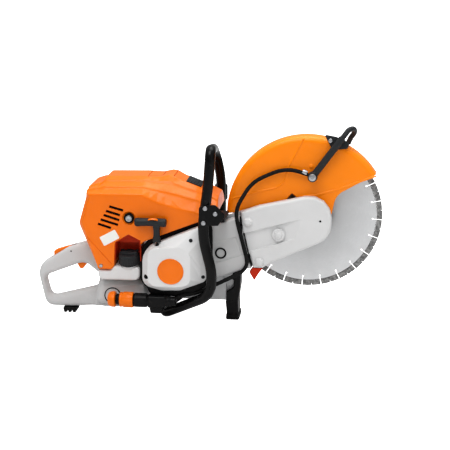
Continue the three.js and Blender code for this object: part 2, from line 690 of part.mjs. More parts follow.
const saw = new THREE.Group();
function add(name, solid, finish) {
  const { vertProperties, triVerts, numProp } = solid.getMesh();
  if (numProp !== 3) throw new Error(name + " carries more than positions");
  const geometry = new THREE.BufferGeometry();
  geometry.setAttribute("position", new THREE.BufferAttribute(vertProperties, 3));
  geometry.setIndex(new THREE.BufferAttribute(triVerts, 1));
  geometry.computeVertexNormals();
  const mesh = new THREE.Mesh(geometry, new THREE.MeshStandardMaterial(finish));
  mesh.name = name;
  saw.add(mesh);
}

// engine and housing
add("crankcase", crankcase(), CAST);
add("cylinder", cylinder(), CAST);
add("spark_plug", sparkPlug(), WHITE);
add("ignition_module", ignitionModule(), BLACK);
add("muffler", muffler(), CAST);
add("carburettor", carburettor(), CAST);
add("air_filter", airFilter(), FILTER);
add("fan_housing", fanHousing(), GREY);
add("engine_shroud", shroud(), ORANGE);
add("fuel_tank", fuelTank(), WHITE);
add("starter_cover", starterCover(), WHITE);
add("cover_seal", coverSeal(), RUBBER);
add("recoil_spring", recoilSpring(), STEEL);

// handles and feet
add("rear_handle", rearHandle(), GREY);
add("rear_foot", rearFoot(), RUBBER);
add("front_handle", frontHandle(), BLACK);
add("handle_bracket_near", nearBracket(), BLACK);
add("handle_bracket_far", farBracket(), BLACK);
add("front_leg", frontLeg(), BLACK);
add("front_foot", frontFoot(), RUBBER);

// cutting arm
add("arm", arm(), CAST);
add("arm_cover", armCover(), WHITE);
add("belt_cover", beltCover(), GREY);
add("arm_nut_upper", armNut(39, 251), STEEL);
add("arm_nut_middle", armNut(110, 222), STEEL);
add("arm_nut_lower", armNut(66, 155), STEEL);
add("spray_deflector", deflector(), RED);
add("drive_belt", belt(), RUBBER);
add("crank_bearing", ring(SHAFT_R + GAP, BEARING_R - GAP, -26.7, MAIN_BEARING.far - GAP, CRANK, 24), STEEL);
add("spindle_bearing", ring(SPINDLE_R + GAP, SPINDLE_BEARING_R, -34.5, -13, SPINDLE, 24), STEEL);

// water supply
add("water_coupling", waterCoupling(), BLACK);
add("water_hose", hose(), RUBBER);
add("coupling_sleeve", couplingSleeve(), ORANGE);

// crank train
add("crankshaft_drive_half", crankHalf(-16, -3, -80, -3), STEEL);
add("crankshaft_fan_half", crankHalf(11, 24, 11, 62), STEEL);
add("flywheel", flywheel(), CAST);
add("clutch_hub", clutchHub(), STEEL);
add("clutch_shoe_front", clutchShoe(1), STEEL);
add("clutch_shoe_rear", clutchShoe(-1), STEEL);
add("clutch_drum", clutchDrum(), STEEL);
add("piston", piston(), CAST);
add("wrist_pin", disc(wristPinAxis, WRIST_PIN_R, ENGINE_Y - 26, ENGINE_Y + 26, 20), STEEL);
add("connecting_rod", connectingRod(), STEEL);
add("crank_pin", disc(crankPinAxis, CRANK_PIN_R, -2.7, 10.7, 20), STEEL);

// blade drive
add("spindle", disc(SPINDLE, SPINDLE_R, -49, 12.2, 24), STEEL);
add("driven_pulley", drivenPulley(), CAST);
add("inner_flange", flange(-1.9, -12), STEEL);
add("outer_flange", flange(1.9, 12), STEEL);
add("blade", blade(), STEEL);
add("arbor_bolt", arborBolt(), STEEL);

// guard
add("guard_shell", guardShell(), ORANGE);
add("guard_bracket", guardBracket(), DARK);
add("guard_handle", guardHandle(), DARK);

// controls
add("starter_grip", starterGrip(), DARK);
add("rope_pulley", ropePulley(), DARK);
add("starter_rope", starterRope(), BLACK);
add("fuel_cap", fuelCap(), DARK);
add("throttle_trigger", trigger(), ORANGE);
add("throttle_lockout", lockout(), ORANGE);
add("decompression_button", disc({ x: -236, z: 258 }, 8, -87, -66, 20), STEEL);

export default saw;
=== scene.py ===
"""Looks of a petrol concrete cut-off saw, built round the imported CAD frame.

Shapes are worked out in millimetres in the row frame: +X towards the blade, -Y the starter side, +Z up.
"""
import math

import bmesh
import bpy
from mathutils import Matrix, Vector
from mathutils.bvhtree import BVHTree


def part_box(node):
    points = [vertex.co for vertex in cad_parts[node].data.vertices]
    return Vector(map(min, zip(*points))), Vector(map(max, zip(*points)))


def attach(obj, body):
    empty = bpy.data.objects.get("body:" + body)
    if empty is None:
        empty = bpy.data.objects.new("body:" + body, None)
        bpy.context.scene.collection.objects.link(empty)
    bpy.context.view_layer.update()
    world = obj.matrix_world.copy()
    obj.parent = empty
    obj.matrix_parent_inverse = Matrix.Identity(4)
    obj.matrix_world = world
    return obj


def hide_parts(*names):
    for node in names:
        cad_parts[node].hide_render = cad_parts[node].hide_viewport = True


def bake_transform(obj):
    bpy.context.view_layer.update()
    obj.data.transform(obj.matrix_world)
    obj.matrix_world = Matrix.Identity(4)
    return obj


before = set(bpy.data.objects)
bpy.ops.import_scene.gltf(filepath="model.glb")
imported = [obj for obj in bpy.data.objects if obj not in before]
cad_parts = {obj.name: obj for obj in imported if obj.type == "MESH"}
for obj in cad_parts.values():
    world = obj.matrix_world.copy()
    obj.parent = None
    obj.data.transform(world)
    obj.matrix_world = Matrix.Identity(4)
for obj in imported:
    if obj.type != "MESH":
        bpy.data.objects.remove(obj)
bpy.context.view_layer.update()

MM = 0.001


# ---------------------------------------------------------------- places taken from the frame
def span(node):
    """Lowest and highest corner of a CAD node, in millimetres."""
    lo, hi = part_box(node)
    return lo / MM, hi / MM


def middle(node):
    lo, hi = span(node)
    return (lo + hi) / 2


def rel(node, points):
    """[x, z] points measured from the low corner of a node's box; a third number is passed on."""
    lo, _ = span(node)
    return [(lo.x + p[0], lo.z + p[1], *p[2:]) for p in points]


def vectors(points):
    return [Vector(point) for point in points]


def rectangle(left, low, right, high):
    """The four corners of an upright rectangle in the X Z plane."""
    return vectors(((left, low), (right, low), (right, high), (left, high)))


def turns(count):
    """Angles spread evenly round a full turn."""
    return [2 * math.pi * k / count for k in range(count)]


SPINDLE = middle("blade")
CRANK = middle("crank_bearing")
HOOD_NEAR = span("engine_shroud")[0].y
HOOD_FAR = span("engine_shroud")[1].y
DOME_Y = span("starter_cover")[0].y
ARM_COVER_Y = span("arm_cover")[0].y
BELT_COVER_Y = span("belt_cover")[0].y


# ---------------------------------------------------------------- outlines
def rounded(corners, steps=6):
    """An outline from [x, z] corners, with an arc where a corner has a radius as its third number."""
    outline = []
    for i, (x, z, *radius) in enumerate(corners):
        corner = Vector((x, z))
        if not radius:
            outline.append(corner)
            continue
        before = (Vector(corners[i - 1][:2]) - corner).normalized()
        after = (Vector(corners[(i + 1) % len(corners)][:2]) - corner).normalized()
        half = before.angle(after) / 2
        reach = radius[0] / math.tan(half)
        centre = corner + (before + after).normalized() * (radius[0] / math.sin(half))
        start = corner + before * reach - centre
        end = corner + after * reach - centre
        sweep = math.atan2(start.x * end.y - start.y * end.x, start.dot(end))
        for k in range(steps + 1):
            outline.append(centre + Matrix.Rotation(sweep * k / steps, 2) @ start)
    return outline


def inset(outline, distance):
    """The outline moved inwards by a distance."""
    count = len(outline)
    area = sum(
        outline[i].x * outline[(i + 1) % count].y - outline[(i + 1) % count].x * outline[i].y
        for i in range(count)
    )
    side = distance if area > 0 else -distance
    moved = []
    for i, point in enumerate(outline):
        a = (point - outline[i - 1]).normalized()
        b = (outline[(i + 1) % count] - point).normalized()
        before, after = Vector((-a.y, a.x)), Vector((-b.y, b.x))
        moved.append(point + (before + after) * (side / (1 + before.dot(after))))
    return moved


def circle(centre, radius, steps=32):
    """Points round a circle in the X Z plane."""
    return [
        Vector((centre[0] + radius * math.cos(a), centre[1] + radius * math.sin(a)))
        for a in turns(steps)
    ]


def bar_outline(start, end, width):
    """The four corners of a straight strip between two [x, z] points."""
    a, b = Vector(start), Vector(end)
    side = Vector((-(b - a).y, (b - a).x)).normalized() * width / 2
    return [a - side, b - side, b + side, a + side]


# ---------------------------------------------------------------- meshes
def new_object(name, bm):
    """A linked object from a bmesh worked in millimetres."""
    bmesh.ops.recalc_face_normals(bm, faces=bm.faces)
    bmesh.ops.scale(bm, vec=(MM, MM, MM), verts=bm.verts)
    mesh = bpy.data.meshes.new(name)
    bm.to_mesh(mesh)
    bm.free()
    obj = bpy.data.objects.new(name, mesh)
    bpy.context.scene.collection.objects.link(obj)
    return obj


def add_rings(bm, rings, closed=False):
    """Rings of points joined side to side, with a face over each end unless they close on themselves."""
    rows = [[bm.verts.new(p) for p in ring] for ring in rings]
    count = len(rows[0])
    for r in range(len(rows) if closed else len(rows) - 1):
        a, b = rows[r], rows[(r + 1) % len(rows)]
        for i in range(count):
            j = (i + 1) % count
            bm.faces.new((a[i], a[j], b[j], b[i]))
    if not closed:
        bm.faces.new(rows[0][::-1])
        bm.faces.new(rows[-1])


def add_slab(bm, outline, near, far, holes=()):
    """An [x, z] outline given thickness along Y, with any holes through it."""
    if not holes:
        add_rings(bm, [[(p.x, y, p.y) for p in outline] for y in (near, far)])
        return
    levels = []
    for y in (near, far):
        loops = [[bm.verts.new((p.x, y, p.y)) for p in loop] for loop in (outline, *holes)]
        edges = [bm.edges.new((loop[i - 1], loop[i])) for loop in loops for i in range(len(loop))]
        bmesh.ops.triangle_fill(bm, edges=edges, use_beauty=True)
        levels.append(loops)
    for a, b in zip(*levels):
        for i in range(len(a)):
            bm.faces.new((a[i - 1], a[i], b[i], b[i - 1]))


def add_soft_slab(bm, outline, near, far, radius, steps=4, holes=()):
    """Nested slabs that step round an edge radius; a voxel remesh melts them into one body."""
    for k in range(steps + 1):
        angle = math.pi / 2 * k / steps
        shrink = radius * (1 - math.sin(angle))
        draw = radius * (1 - math.cos(angle))
        add_slab(bm, inset(outline, draw), near + shrink, far - shrink,
            [inset(hole, -draw) for hole in holes])


def add_lathe(bm, profile, origin, axis, steps=48):
    """A [radius, along] profile turned round an axis; the profile ends on the axis or closes."""
    axis = Vector(axis).normalized()
    across = axis.orthogonal().normalized()
    other = axis.cross(across)
    origin = Vector(origin)
    rows = []
    for r, h in profile:
        if r == 0:
            rows.append([bm.verts.new(origin + axis * h)])
            continue
        rows.append([
            bm.verts.new(origin + axis * h + (across * math.cos(a) + other * math.sin(a)) * r)
            for a in turns(steps)
        ])
    pairs = list(zip(rows, rows[1:]))
    if len(rows[0]) > 1:
        pairs.append((rows[-1], rows[0]))
    for a, b in pairs:
        for i in range(steps):
            j = (i + 1) % steps
            if len(a) == 1:
                bm.faces.new((a[0], b[j], b[i]))
            elif len(b) == 1:
                bm.faces.new((a[i], a[j], b[0]))
            else:
                bm.faces.new((a[i], a[j], b[j], b[i]))


def add_sweep(bm, points, radius, sides=20):
    """A round bar along points; radius is a number or a function of the share of the way along."""
    points = vectors(points)
    size = radius if callable(radius) else lambda share: radius
    tangents = [
        (points[min(i + 1, len(points) - 1)] - points[max(i - 1, 0)]).normalized()
        for i in range(len(points))
    ]
    side = tangents[0].orthogonal().normalized()
    rings = []
    for i, (point, tangent) in enumerate(zip(points, tangents)):
        side = (side - tangent * side.dot(tangent)).normalized()
        other = tangent.cross(side)
        r = size(i / (len(points) - 1))
        rings.append([
            point + (side * math.cos(a) + other * math.sin(a)) * r
            for a in turns(sides)
        ])
    add_rings(bm, rings)


def bent(corners, steps=8):
    """Points along straight runs between (x, y, z, reach) corners; a bend starts its reach from the corner."""
    places = [Vector(corner[:3]) for corner in corners]
    line = [places[0]]
    for before, place, after, corner in zip(places, places[1:], places[2:], corners[1:]):
        start = place + (before - place).normalized() * corner[3]
        end = place + (after - place).normalized() * corner[3]
        for t in (k / steps for k in range(steps + 1)):
            line.append(start.lerp(place, t).lerp(place.lerp(end, t), t))
    return line + [places[-1]]


def applied(obj):
    """Turns an object's modifiers into its mesh."""
    graph = bpy.context.evaluated_depsgraph_get()
    mesh = bpy.data.meshes.new_from_object(obj.evaluated_get(graph))
    obj.modifiers.clear()
    obj.data = mesh
    return obj


def combine(obj, tool, operation, solver, use_self=False):
    """Cuts an object with another or joins them; the other is removed afterwards."""
    modifier = obj.modifiers.new("boolean", "BOOLEAN")
    modifier.operation = operation
    modifier.solver = solver
    modifier.use_self = use_self
    modifier.object = tool
    applied(obj)
    bpy.data.objects.remove(tool)


def boolean(obj, shape, operation="DIFFERENCE", fast=False):
    """Cuts or joins the solid that shape(bm) makes; the fast solver needs two clean solids."""
    combine(obj, build("tool", shape), operation, "MANIFOLD" if fast else "EXACT", not fast)


def melt(obj, voxel, smooth=4, keep=1.0):
    """Voxel remesh and smoothing: joins what overlaps and gives edges a moulded radius."""
    remesh = obj.modifiers.new("remesh", "REMESH")
    remesh.mode = "VOXEL"
    remesh.voxel_size = voxel * MM
    if smooth:
        soften = obj.modifiers.new("smooth", "SMOOTH")
        soften.iterations = smooth
        soften.factor = 0.5
    if keep < 1:
        fewer = obj.modifiers.new("fewer", "DECIMATE")
        fewer.ratio = keep
    applied(obj)
    return shade(obj)


def bevel(obj, width, segments=2, angle=30):
    modifier = obj.modifiers.new("bevel", "BEVEL")
    modifier.width = width * MM
    modifier.segments = segments
    modifier.limit_method = "ANGLE"
    modifier.angle_limit = math.radians(angle)
    return obj


def shade(obj, angle=None):
    """Smooth shading, with edges over the angle kept sharp if one is given."""
    mesh = obj.data
    mesh.polygons.foreach_set("use_smooth", [True] * len(mesh.polygons))
    if angle is not None:
        mesh.set_sharp_from_angle(angle=math.radians(angle))
    return obj


def cad_mesh(node):
    """A welded bmesh of a CAD node, in millimetres."""
    bm = bmesh.new()
    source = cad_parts[node].data
    verts = [bm.verts.new(v.co / MM) for v in source.vertices]
    for face in source.polygons:
        bm.faces.new([verts[i] for i in face.vertices])
    bmesh.ops.remove_doubles(bm, verts=bm.verts, dist=0.01)
    return bm


def cad_copy(name, node):
    """A new object in the shape of a CAD node."""
    return new_object(name, cad_mesh(node))


def piece(obj, material, body, slot, *nodes):
    """Gives a finished object its material and its place in the frame; it stands for the CAD nodes named."""
    obj.data.materials.clear()
    obj.data.materials.append(material)
    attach(obj, body)
    if nodes:
        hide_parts(*nodes)
    return obj


def build(name, shape):
    """A new object from a function that adds to a bmesh."""
    bm = bmesh.new()
    shape(bm)
    return new_object(name, bm)


def slab(name, outline, near, far, holes=()):
    return build(name, lambda bm: add_slab(bm, outline, near, far, holes))


def soft_slab(name, outline, near, far, radius):
    return build(name, lambda bm: add_soft_slab(bm, outline, near, far, radius))


def lathe(name, profile, origin, axis, steps=48):
    return build(name, lambda bm: add_lathe(bm, profile, origin, axis, steps))


# ---------------------------------------------------------------- materials
def srgb(red, green, blue):
    """A colour given as 0 to 255 screen values."""
    def linear(value):
        share = value / 255
        return share / 12.92 if share <= 0.04045 else ((share + 0.055) / 1.055) ** 2.4
    return (linear(red), linear(green), linear(blue), 1)


class Nodes:
    """A small helper for wiring one material."""

    def __init__(self, name):
        self.material = bpy.data.materials.new(name)
        self.material.use_nodes = True
        self.tree = self.material.node_tree
        self.surface = self.tree.nodes["Principled BSDF"]
        self.place = self.add("ShaderNodeTexCoord").outputs["Object"]

    def add(self, kind, **settings):
        node = self.tree.nodes.new(kind)
        for key, value in settings.items():
            if key in node.inputs:
                node.inputs[key].default_value = value
            else:
                setattr(node, key, value)
        return node

    def link(self, source, target):
        self.tree.links.new(source, target)

    def noise(self, scale, detail=2.0, place=None):
        node = self.add("ShaderNodeTexNoise", Scale=scale, Detail=detail)
        self.link(place or self.place, node.inputs["Vector"])
        return node.outputs["Fac"]

    def remap(self, value, low, high, start=0.3, end=0.7):
        node = self.add("ShaderNodeMapRange")
        node.inputs["From Min"].default_value = start
        node.inputs["From Max"].default_value = end
        node.inputs["To Min"].default_value = low
        node.inputs["To Max"].default_value = high
        self.link(value, node.inputs["Value"])
        return node.outputs["Result"]

    def mix(self, share, a, b):
        node = self.add("ShaderNodeMix", data_type="RGBA")
        for socket, value in ((0, share), (6, a), (7, b)):
            if isinstance(value, (float, int, tuple)):
                node.inputs[socket].default_value = value
            else:
                self.link(value, node.inputs[socket])
        return node.outputs[2]

    def bump(self, height, depth, strength=1.0, before=None):
        node = self.add("ShaderNodeBump", Strength=strength, Distance=depth * MM)
        self.link(height, node.inputs["Height"])
        if before is not None:
            self.link(before, node.inputs["Normal"])
        return node.outputs["Normal"]

    def edges(self, low=0.52, high=0.58):
        geometry = self.add("ShaderNodeNewGeometry")
        return self.remap(geometry.outputs["Pointiness"], 0.0, 1.0, low, high)

    def set(self, name, value):
        target = self.surface.inputs[name]
        if isinstance(value, (float, int, tuple)):
            target.default_value = value
        else:
            self.link(value, target)


def finish_of(name, color, roughness, metallic=0.0, grain=0.5, depth=0.03, shift=0.05, wear=0.15,
              coat=0.0, spread=0.06):
    """Moulded, painted or cast surface: drifting colour and roughness, fine grain, paler edges and dust."""
    n = Nodes(name)
    dark = tuple(c * (1 - shift) for c in color[:3]) + (1,)
    pale = tuple(min(1, c * (1 + shift)) for c in color[:3]) + (1,)
    drift = n.remap(n.noise(14, 3), 0, 1)
    base = n.mix(drift, dark, pale)
    scuffs = n.remap(n.noise(90, 8), 0, 1, 0.58, 0.75)
    worn = n.add("ShaderNodeMath", operation="MULTIPLY")
    n.link(n.edges(), worn.inputs[0])
    n.link(n.remap(n.noise(160, 4), 0.2, wear * 4), worn.inputs[1])
    edge_color = tuple(0.88 * c + 0.12 * 0.5 for c in color[:3]) + (1,)
    base = n.mix(n.remap(worn.outputs[0], 0, wear, 0, 1), base, edge_color)
    base = n.mix(n.remap(scuffs, 0, 0.02, 0, 1), base, (0.5, 0.48, 0.44, 1))
    n.set("Base Color", base)
    n.set("Roughness", n.remap(n.noise(45, 6), roughness - spread, roughness + spread))
    n.set("Metallic", metallic)
    n.set("Specular IOR Level", 0.22)
    n.set("Coat Weight", coat)
    n.set("Coat Roughness", 0.12)
    fine = n.bump(n.noise(1 / (grain * MM), 2), depth)
    n.set("Normal", n.bump(n.noise(60, 2), 0.05, 0.5, fine))
    return n.material


def brushed(name, color, roughness, centre, dark_ring=None):
    """Steel brushed in circles round an axis along Y, with painted shade darkening it towards its hub, and one
    dark ring if wanted.
    """
    n = Nodes(name)
    offset = n.add("ShaderNodeVectorMath", operation="SUBTRACT")
    n.link(n.place, offset.inputs[0])
    offset.inputs[1].default_value = (centre.x * MM, 0, centre.z * MM)
    split = n.add("ShaderNodeSeparateXYZ")
    n.link(offset.outputs[0], split.inputs[0])
    flat = n.add("ShaderNodeCombineXYZ")
    n.link(split.outputs["X"], flat.inputs["X"])
    n.link(split.outputs["Z"], flat.inputs["Y"])
    length = n.add("ShaderNodeVectorMath", operation="LENGTH")
    n.link(flat.outputs[0], length.inputs[0])
    angle = n.add("ShaderNodeMath", operation="ARCTAN2")
    n.link(split.outputs["Z"], angle.inputs[0])
    n.link(split.outputs["X"], angle.inputs[1])
    polar = n.add("ShaderNodeCombineXYZ")
    n.link(length.outputs["Value"], polar.inputs["X"])
    scaled = n.add("ShaderNodeMath", operation="MULTIPLY")
    n.link(angle.outputs[0], scaled.inputs[0])
    scaled.inputs[1].default_value = 0.004
    n.link(scaled.outputs[0], polar.inputs["Y"])
    rings = n.noise(2600, 3, polar.outputs[0])
    drift = n.noise(30, 3)
    tone = n.mix(n.remap(rings, 0, 1), tuple(c * 0.86 for c in color[:3]) + (1,), color)
    tone = n.mix(n.remap(drift, 0, 0.25), tone, tuple(c * 0.7 for c in color[:3]) + (1,))
    # painted shade: the steel turns darker towards the hub
    painted_hub_shade = n.remap(length.outputs["Value"], 0.4, 0, 0.06, 0.15)
    tone = n.mix(painted_hub_shade, tone, tuple(c * 0.35 for c in color[:3]) + (1,))
    if dark_ring:
        band = n.add("ShaderNodeMath", operation="COMPARE")
        n.link(length.outputs["Value"], band.inputs[0])
        band.inputs[1].default_value = dark_ring * MM
        band.inputs[2].default_value = 0.9 * MM
        tone = n.mix(band.outputs[0], tone, (0.03, 0.03, 0.03, 1))
    n.set("Base Color", tone)
    n.set("Metallic", 0.75)
    n.set("Roughness", n.remap(rings, roughness - 0.08, roughness + 0.08))
    n.set("Normal", n.bump(rings, 0.02))
    return n.material


def grit(name):
    """Diamond segment: sintered metal full of fine pits and grains."""
    n = Nodes(name)
    cells = n.add("ShaderNodeTexVoronoi", Scale=900.0)
    n.link(n.place, cells.inputs["Vector"])
    speckle = n.remap(cells.outputs["Distance"], 0, 1, 0.1, 0.6)
    blotch = n.remap(n.noise(160, 5), 0, 1, 0.35, 0.65)
    tone = n.mix(speckle, (0.55, 0.55, 0.54, 1), (0.26, 0.26, 0.255, 1))
    n.set("Base Color", n.mix(blotch, tone, (0.14, 0.14, 0.14, 1)))
    n.set("Metallic", 0.35)
    n.set("Roughness", 0.7)
    n.set("Normal", n.bump(cells.outputs["Distance"], 0.25))
    return n.material


ORANGE = finish_of("orange_plastic", srgb(234, 117, 4), 0.36, grain=0.5, depth=0.012, shift=0.04,
    wear=0.1, coat=0.2)
SHEET = finish_of("guard_paint", srgb(250, 139, 10), 0.34, grain=1.2, depth=0.01, shift=0.03, coat=0.12)
WHITE = finish_of("white_plastic", srgb(214, 214, 214), 0.38, grain=0.5, depth=0.012, shift=0.03,
    wear=0.05)
COVER = finish_of("arm_cover_paint", srgb(210, 210, 210), 0.4, grain=0.8, depth=0.03, shift=0.03,
    wear=0.05)
GREY = finish_of("grey_plastic", srgb(196, 196, 196), 0.42, grain=0.6, depth=0.03, shift=0.03, wear=0.05)
CAST = finish_of("cast_metal", srgb(184, 185, 186), 0.48, 0.55, grain=0.9, depth=0.12, shift=0.1,
    wear=0.3)
MUFFLER = finish_of("muffler_metal", srgb(120, 110, 102), 0.55, 0.8, grain=1.5, depth=0.05, shift=0.2)
TUBE = finish_of("black_tube", srgb(5, 5, 5), 0.24, grain=1.5, depth=0.01, wear=0.03, spread=0.03)
BRACKET = finish_of("black_bracket", srgb(10, 10, 11), 0.42, grain=0.5, depth=0.03, wear=0.06)
RUBBER = finish_of("black_rubber", srgb(17, 17, 17), 0.65, grain=0.4, depth=0.06, wear=0.04)
DARK = finish_of("dark_plastic", srgb(46, 48, 50), 0.5, grain=0.4, depth=0.05, wear=0.08)
RED = finish_of("red_plastic", srgb(190, 46, 8), 0.42, grain=0.5, depth=0.02)
# painted shade: a darker red for the inside of the filler cap pocket
POCKET_SHADE_RED = finish_of("painted_recess_shade", srgb(196, 56, 10), 0.5, grain=0.5, depth=0.02)
FILTER = finish_of("filter_paper", srgb(210, 200, 165), 0.9, grain=0.8, depth=0.2)
STEEL = finish_of("machined_steel", srgb(178, 180, 183), 0.28, 0.95, grain=0.8, depth=0.01, shift=0.05)
# near-black painted shadow for the insides of holes and the space behind slots
HOLE_SHADOW = finish_of("hole_shadow", srgb(8, 8, 8), 0.8, grain=0.5, depth=0.05)
LABEL = finish_of("plain_label", srgb(232, 232, 228), 0.3, grain=0.8, depth=0.004, shift=0.02, wear=0.02)
BLADE_STEEL = brushed("blade_steel", srgb(214, 215, 216), 0.36, SPINDLE, dark_ring=162.2)
GRIT = grit("blade_segment")


# ---------------------------------------------------------------- engine hood
def hood_section(x, roof, side, lower, upper, narrow=0.0):
    """One section across the hood: flat sides up to a crease, two facets, then the roof."""
    near, far = HOOD_NEAR + narrow, HOOD_FAR - narrow
    floor = span("engine_shroud")[0].z - 40
    return [
        (x, near, floor), (x, near, side), (x, near + 14, lower - 2), (x, near + 15.5, lower + 3),
        (x, near + 33, upper - 2), (x, near + 34.5, upper + 2), (x, near + 49, roof),
        (x, far - 45, roof), (x, far - 30.5, upper + 2), (x, far - 29, upper - 2),
        (x, far - 13.5, lower + 3), (x, far - 12, lower - 2), (x, far, side), (x, far, floor),
    ]


# distance from the rear of the hood, then heights over its foot:
# roof, side crease, lower and upper facet edges
HOOD_STATIONS = [
    (-16.5, 168, 158, 162, 166),
    (10.5, 185, 172, 178, 182),
    (19.5, 193, 179, 186, 191),
    (37.5, 200, 182, 190, 197),
    (47.5, 202, 182, 191, 198),
    (59.5, 215, 182, 194, 206),
    (150.5, 217, 183, 196, 209),
    (167.5, 216, 175, 193, 207),
    (185.5, 216, 166, 190, 206),
    (206.5, 221, 159, 186, 206),
    (217.5, 220, 157, 184, 204),
    (237.5, 209, 152, 179, 197),
    (275.5, 195, 144, 169, 185),
    (311.5, 180, 136, 158, 172),
    (335.5, 168, 128, 148, 161),
]


def hood_rings(shell):
    lo, _ = span("engine_shroud")
    return [
        hood_section(lo.x + x, *(lo.z + height - shell for height in heights), narrow=shell)
        for x, *heights in HOOD_STATIONS
    ]


def hood_outline():
    return rounded(rel("engine_shroud", [
        (40.5, 1), (74.5, 0), (88.5, 18), (139.5, 18), (142.5, 66, 26), (324.5, 138), (322.5, 228),
        (18.5, 228), (16.5, 172, 14), (-2.5, 108, 24),
    ]), 8)


def hood_side(bm, shell=0.0, chamfer=11.0):
    """The side view given width, its rear edge drawn in at both sides as a chamfer."""
    outline = inset(hood_outline(), shell) if shell else hood_outline()
    lo, _ = span("engine_shroud")
    rear = lo.x + 44

    def drawn(y, pull):
        return [(p.x + pull * min(1, max(0, (rear - p.x) / 12)), y,
            p.y - (40 if shell and p.y < lo.z + 143
                 and p.x > rear - 9 else 0)) for p in outline]
    add_rings(bm, [
        drawn(HOOD_NEAR - 1 + shell, chamfer), drawn(HOOD_NEAR + chamfer, 0),
        drawn(HOOD_FAR - chamfer, 0), drawn(HOOD_FAR + 1 - shell, chamfer),
    ])


def vent_slots(near, far):
    """Five slanted cooling slots."""
    def add(bm):
        for start, end in (
            ((73.5, 153), (106.5, 144)), ((65.5, 142), (98.5, 132.5)), ((59.5, 132), (96.5, 120.5)),
            ((52.5, 121), (93.5, 109)), ((45.5, 110.5), (76.5, 101)),
        ):
            ends = rel("engine_shroud", [start, end])
            add_slab(bm, bar_outline(ends[0], ends[1], 6.4), near, far)
    return add


def cap_wells():
    """The pocket over the filler cap in two steps, each an outline and how far in it reaches."""
    tall = rel("engine_shroud", [(79.5, -32), (85.5, 67), (117.5, 87), (145.5, 73), (146.5, -32)])
    low = rel("engine_shroud", [(79.5, -32), (84.5, 63), (145.5, 63), (146.5, -32)])
    return [(vectors(tall), -54.5), (vectors(low), -34.5)]


def hood():
    shell = 3.0
    body = build("engine_hood", lambda bm: add_rings(bm, hood_rings(0)))
    boolean(body, hood_side, "INTERSECT")
    melt(body, 1.8, 4)
    inner = build("hood_inner", lambda bm: add_rings(bm, hood_rings(shell)))
    boolean(inner, lambda bm: hood_side(bm, shell), "INTERSECT")
    near = HOOD_NEAR
    for well, deep in cap_wells():
        boolean(inner, lambda bm: add_slab(bm, inset(well, -2.5), near - 20, deep + 3))
    melt(inner, 2.2, 6)
    combine(body, inner, "DIFFERENCE", "MANIFOLD")
    for well, deep in cap_wells():
        boolean(body, lambda bm: add_slab(bm, well, near - 20, deep), fast=True)
    for side, way in ((near, 1), (HOOD_FAR, -1)):
        boolean(body, hood_scoop(side, way), fast=True)
    melt(body, 1.2, 1, 0.4)

    button = middle("decompression_button")
    boolean(body, lambda bm: add_lathe(
        bm, [(0, -2), (16.5, -2), (16.5, 0), (10, 6), (10, 12), (0, 12)], (button.x, near,
            button.z), (0, 1, 0)),
        fast=True)
    grip = rel("rear_handle", [(159, 177), (67, 151), (67, 113), (159, 127)])
    boolean(body, lambda bm: add_slab(bm, vectors(grip), -19.5, 19.5), fast=True)
    for near_y, far_y in ((near - 5, near + 10), (HOOD_FAR - 10, HOOD_FAR + 5)):
        boolean(body, vent_slots(near_y, far_y), fast=True)
    for groove in seams():
        boolean(body, groove, fast=True)
    return piece(shade(body, 40), ORANGE, "machine", "orange_plastic", "engine_shroud")


def hood_scoop(side, way):
    """A wedge pressed under the crease where it sweeps down, so that its floor faces up."""
    sharp, toe, heel, rise = rel("engine_shroud",
        [(152.5, 182), (239.5, 150), (221.5, 168), (177.5, 193)])

    def add(bm):
        add_rings(bm, [
            [(*p[:1], side + way * reach, p[1]) for p, reach in zip((sharp, toe, heel, rise), reaches)]
            for reaches in ((-6, -6, -6, -6), (0.1, 0.1, 7, 9))
        ])
    return add


def seams():
    """Narrow grooves: the lower rear flange, the roof hatch and the split at the front of the roof."""
    near = HOOD_NEAR
    line = bar_outline(*rel("engine_shroud", [(4.5, 94), (76.5, 14)]), 1.4)
    yield lambda bm: add_slab(bm, line, near - 1, near + 1.2)
    yield lambda bm: add_slab(bm, line, HOOD_FAR - 1.2, HOOD_FAR + 1)
    (x0, z0), (x1, z1), (x2, z2) = rel("engine_shroud", [(156.5, 211), (190.5, 211), (218.5, 215)])

    def roof_line(x, z, half):
        return lambda bm: add_slab(
            bm, rectangle(x, z, x + 1.4, z + 12), -half, half)
    yield roof_line(x0, z0, 34)
    yield roof_line(x1, z1, 21)
    yield roof_line(x2, z2, 34)
    for y in (-23, 22):
        yield lambda bm, y=y: add_slab(
            bm, rectangle(x0, z0, x1, z0 + 9), y, y + 1.4)


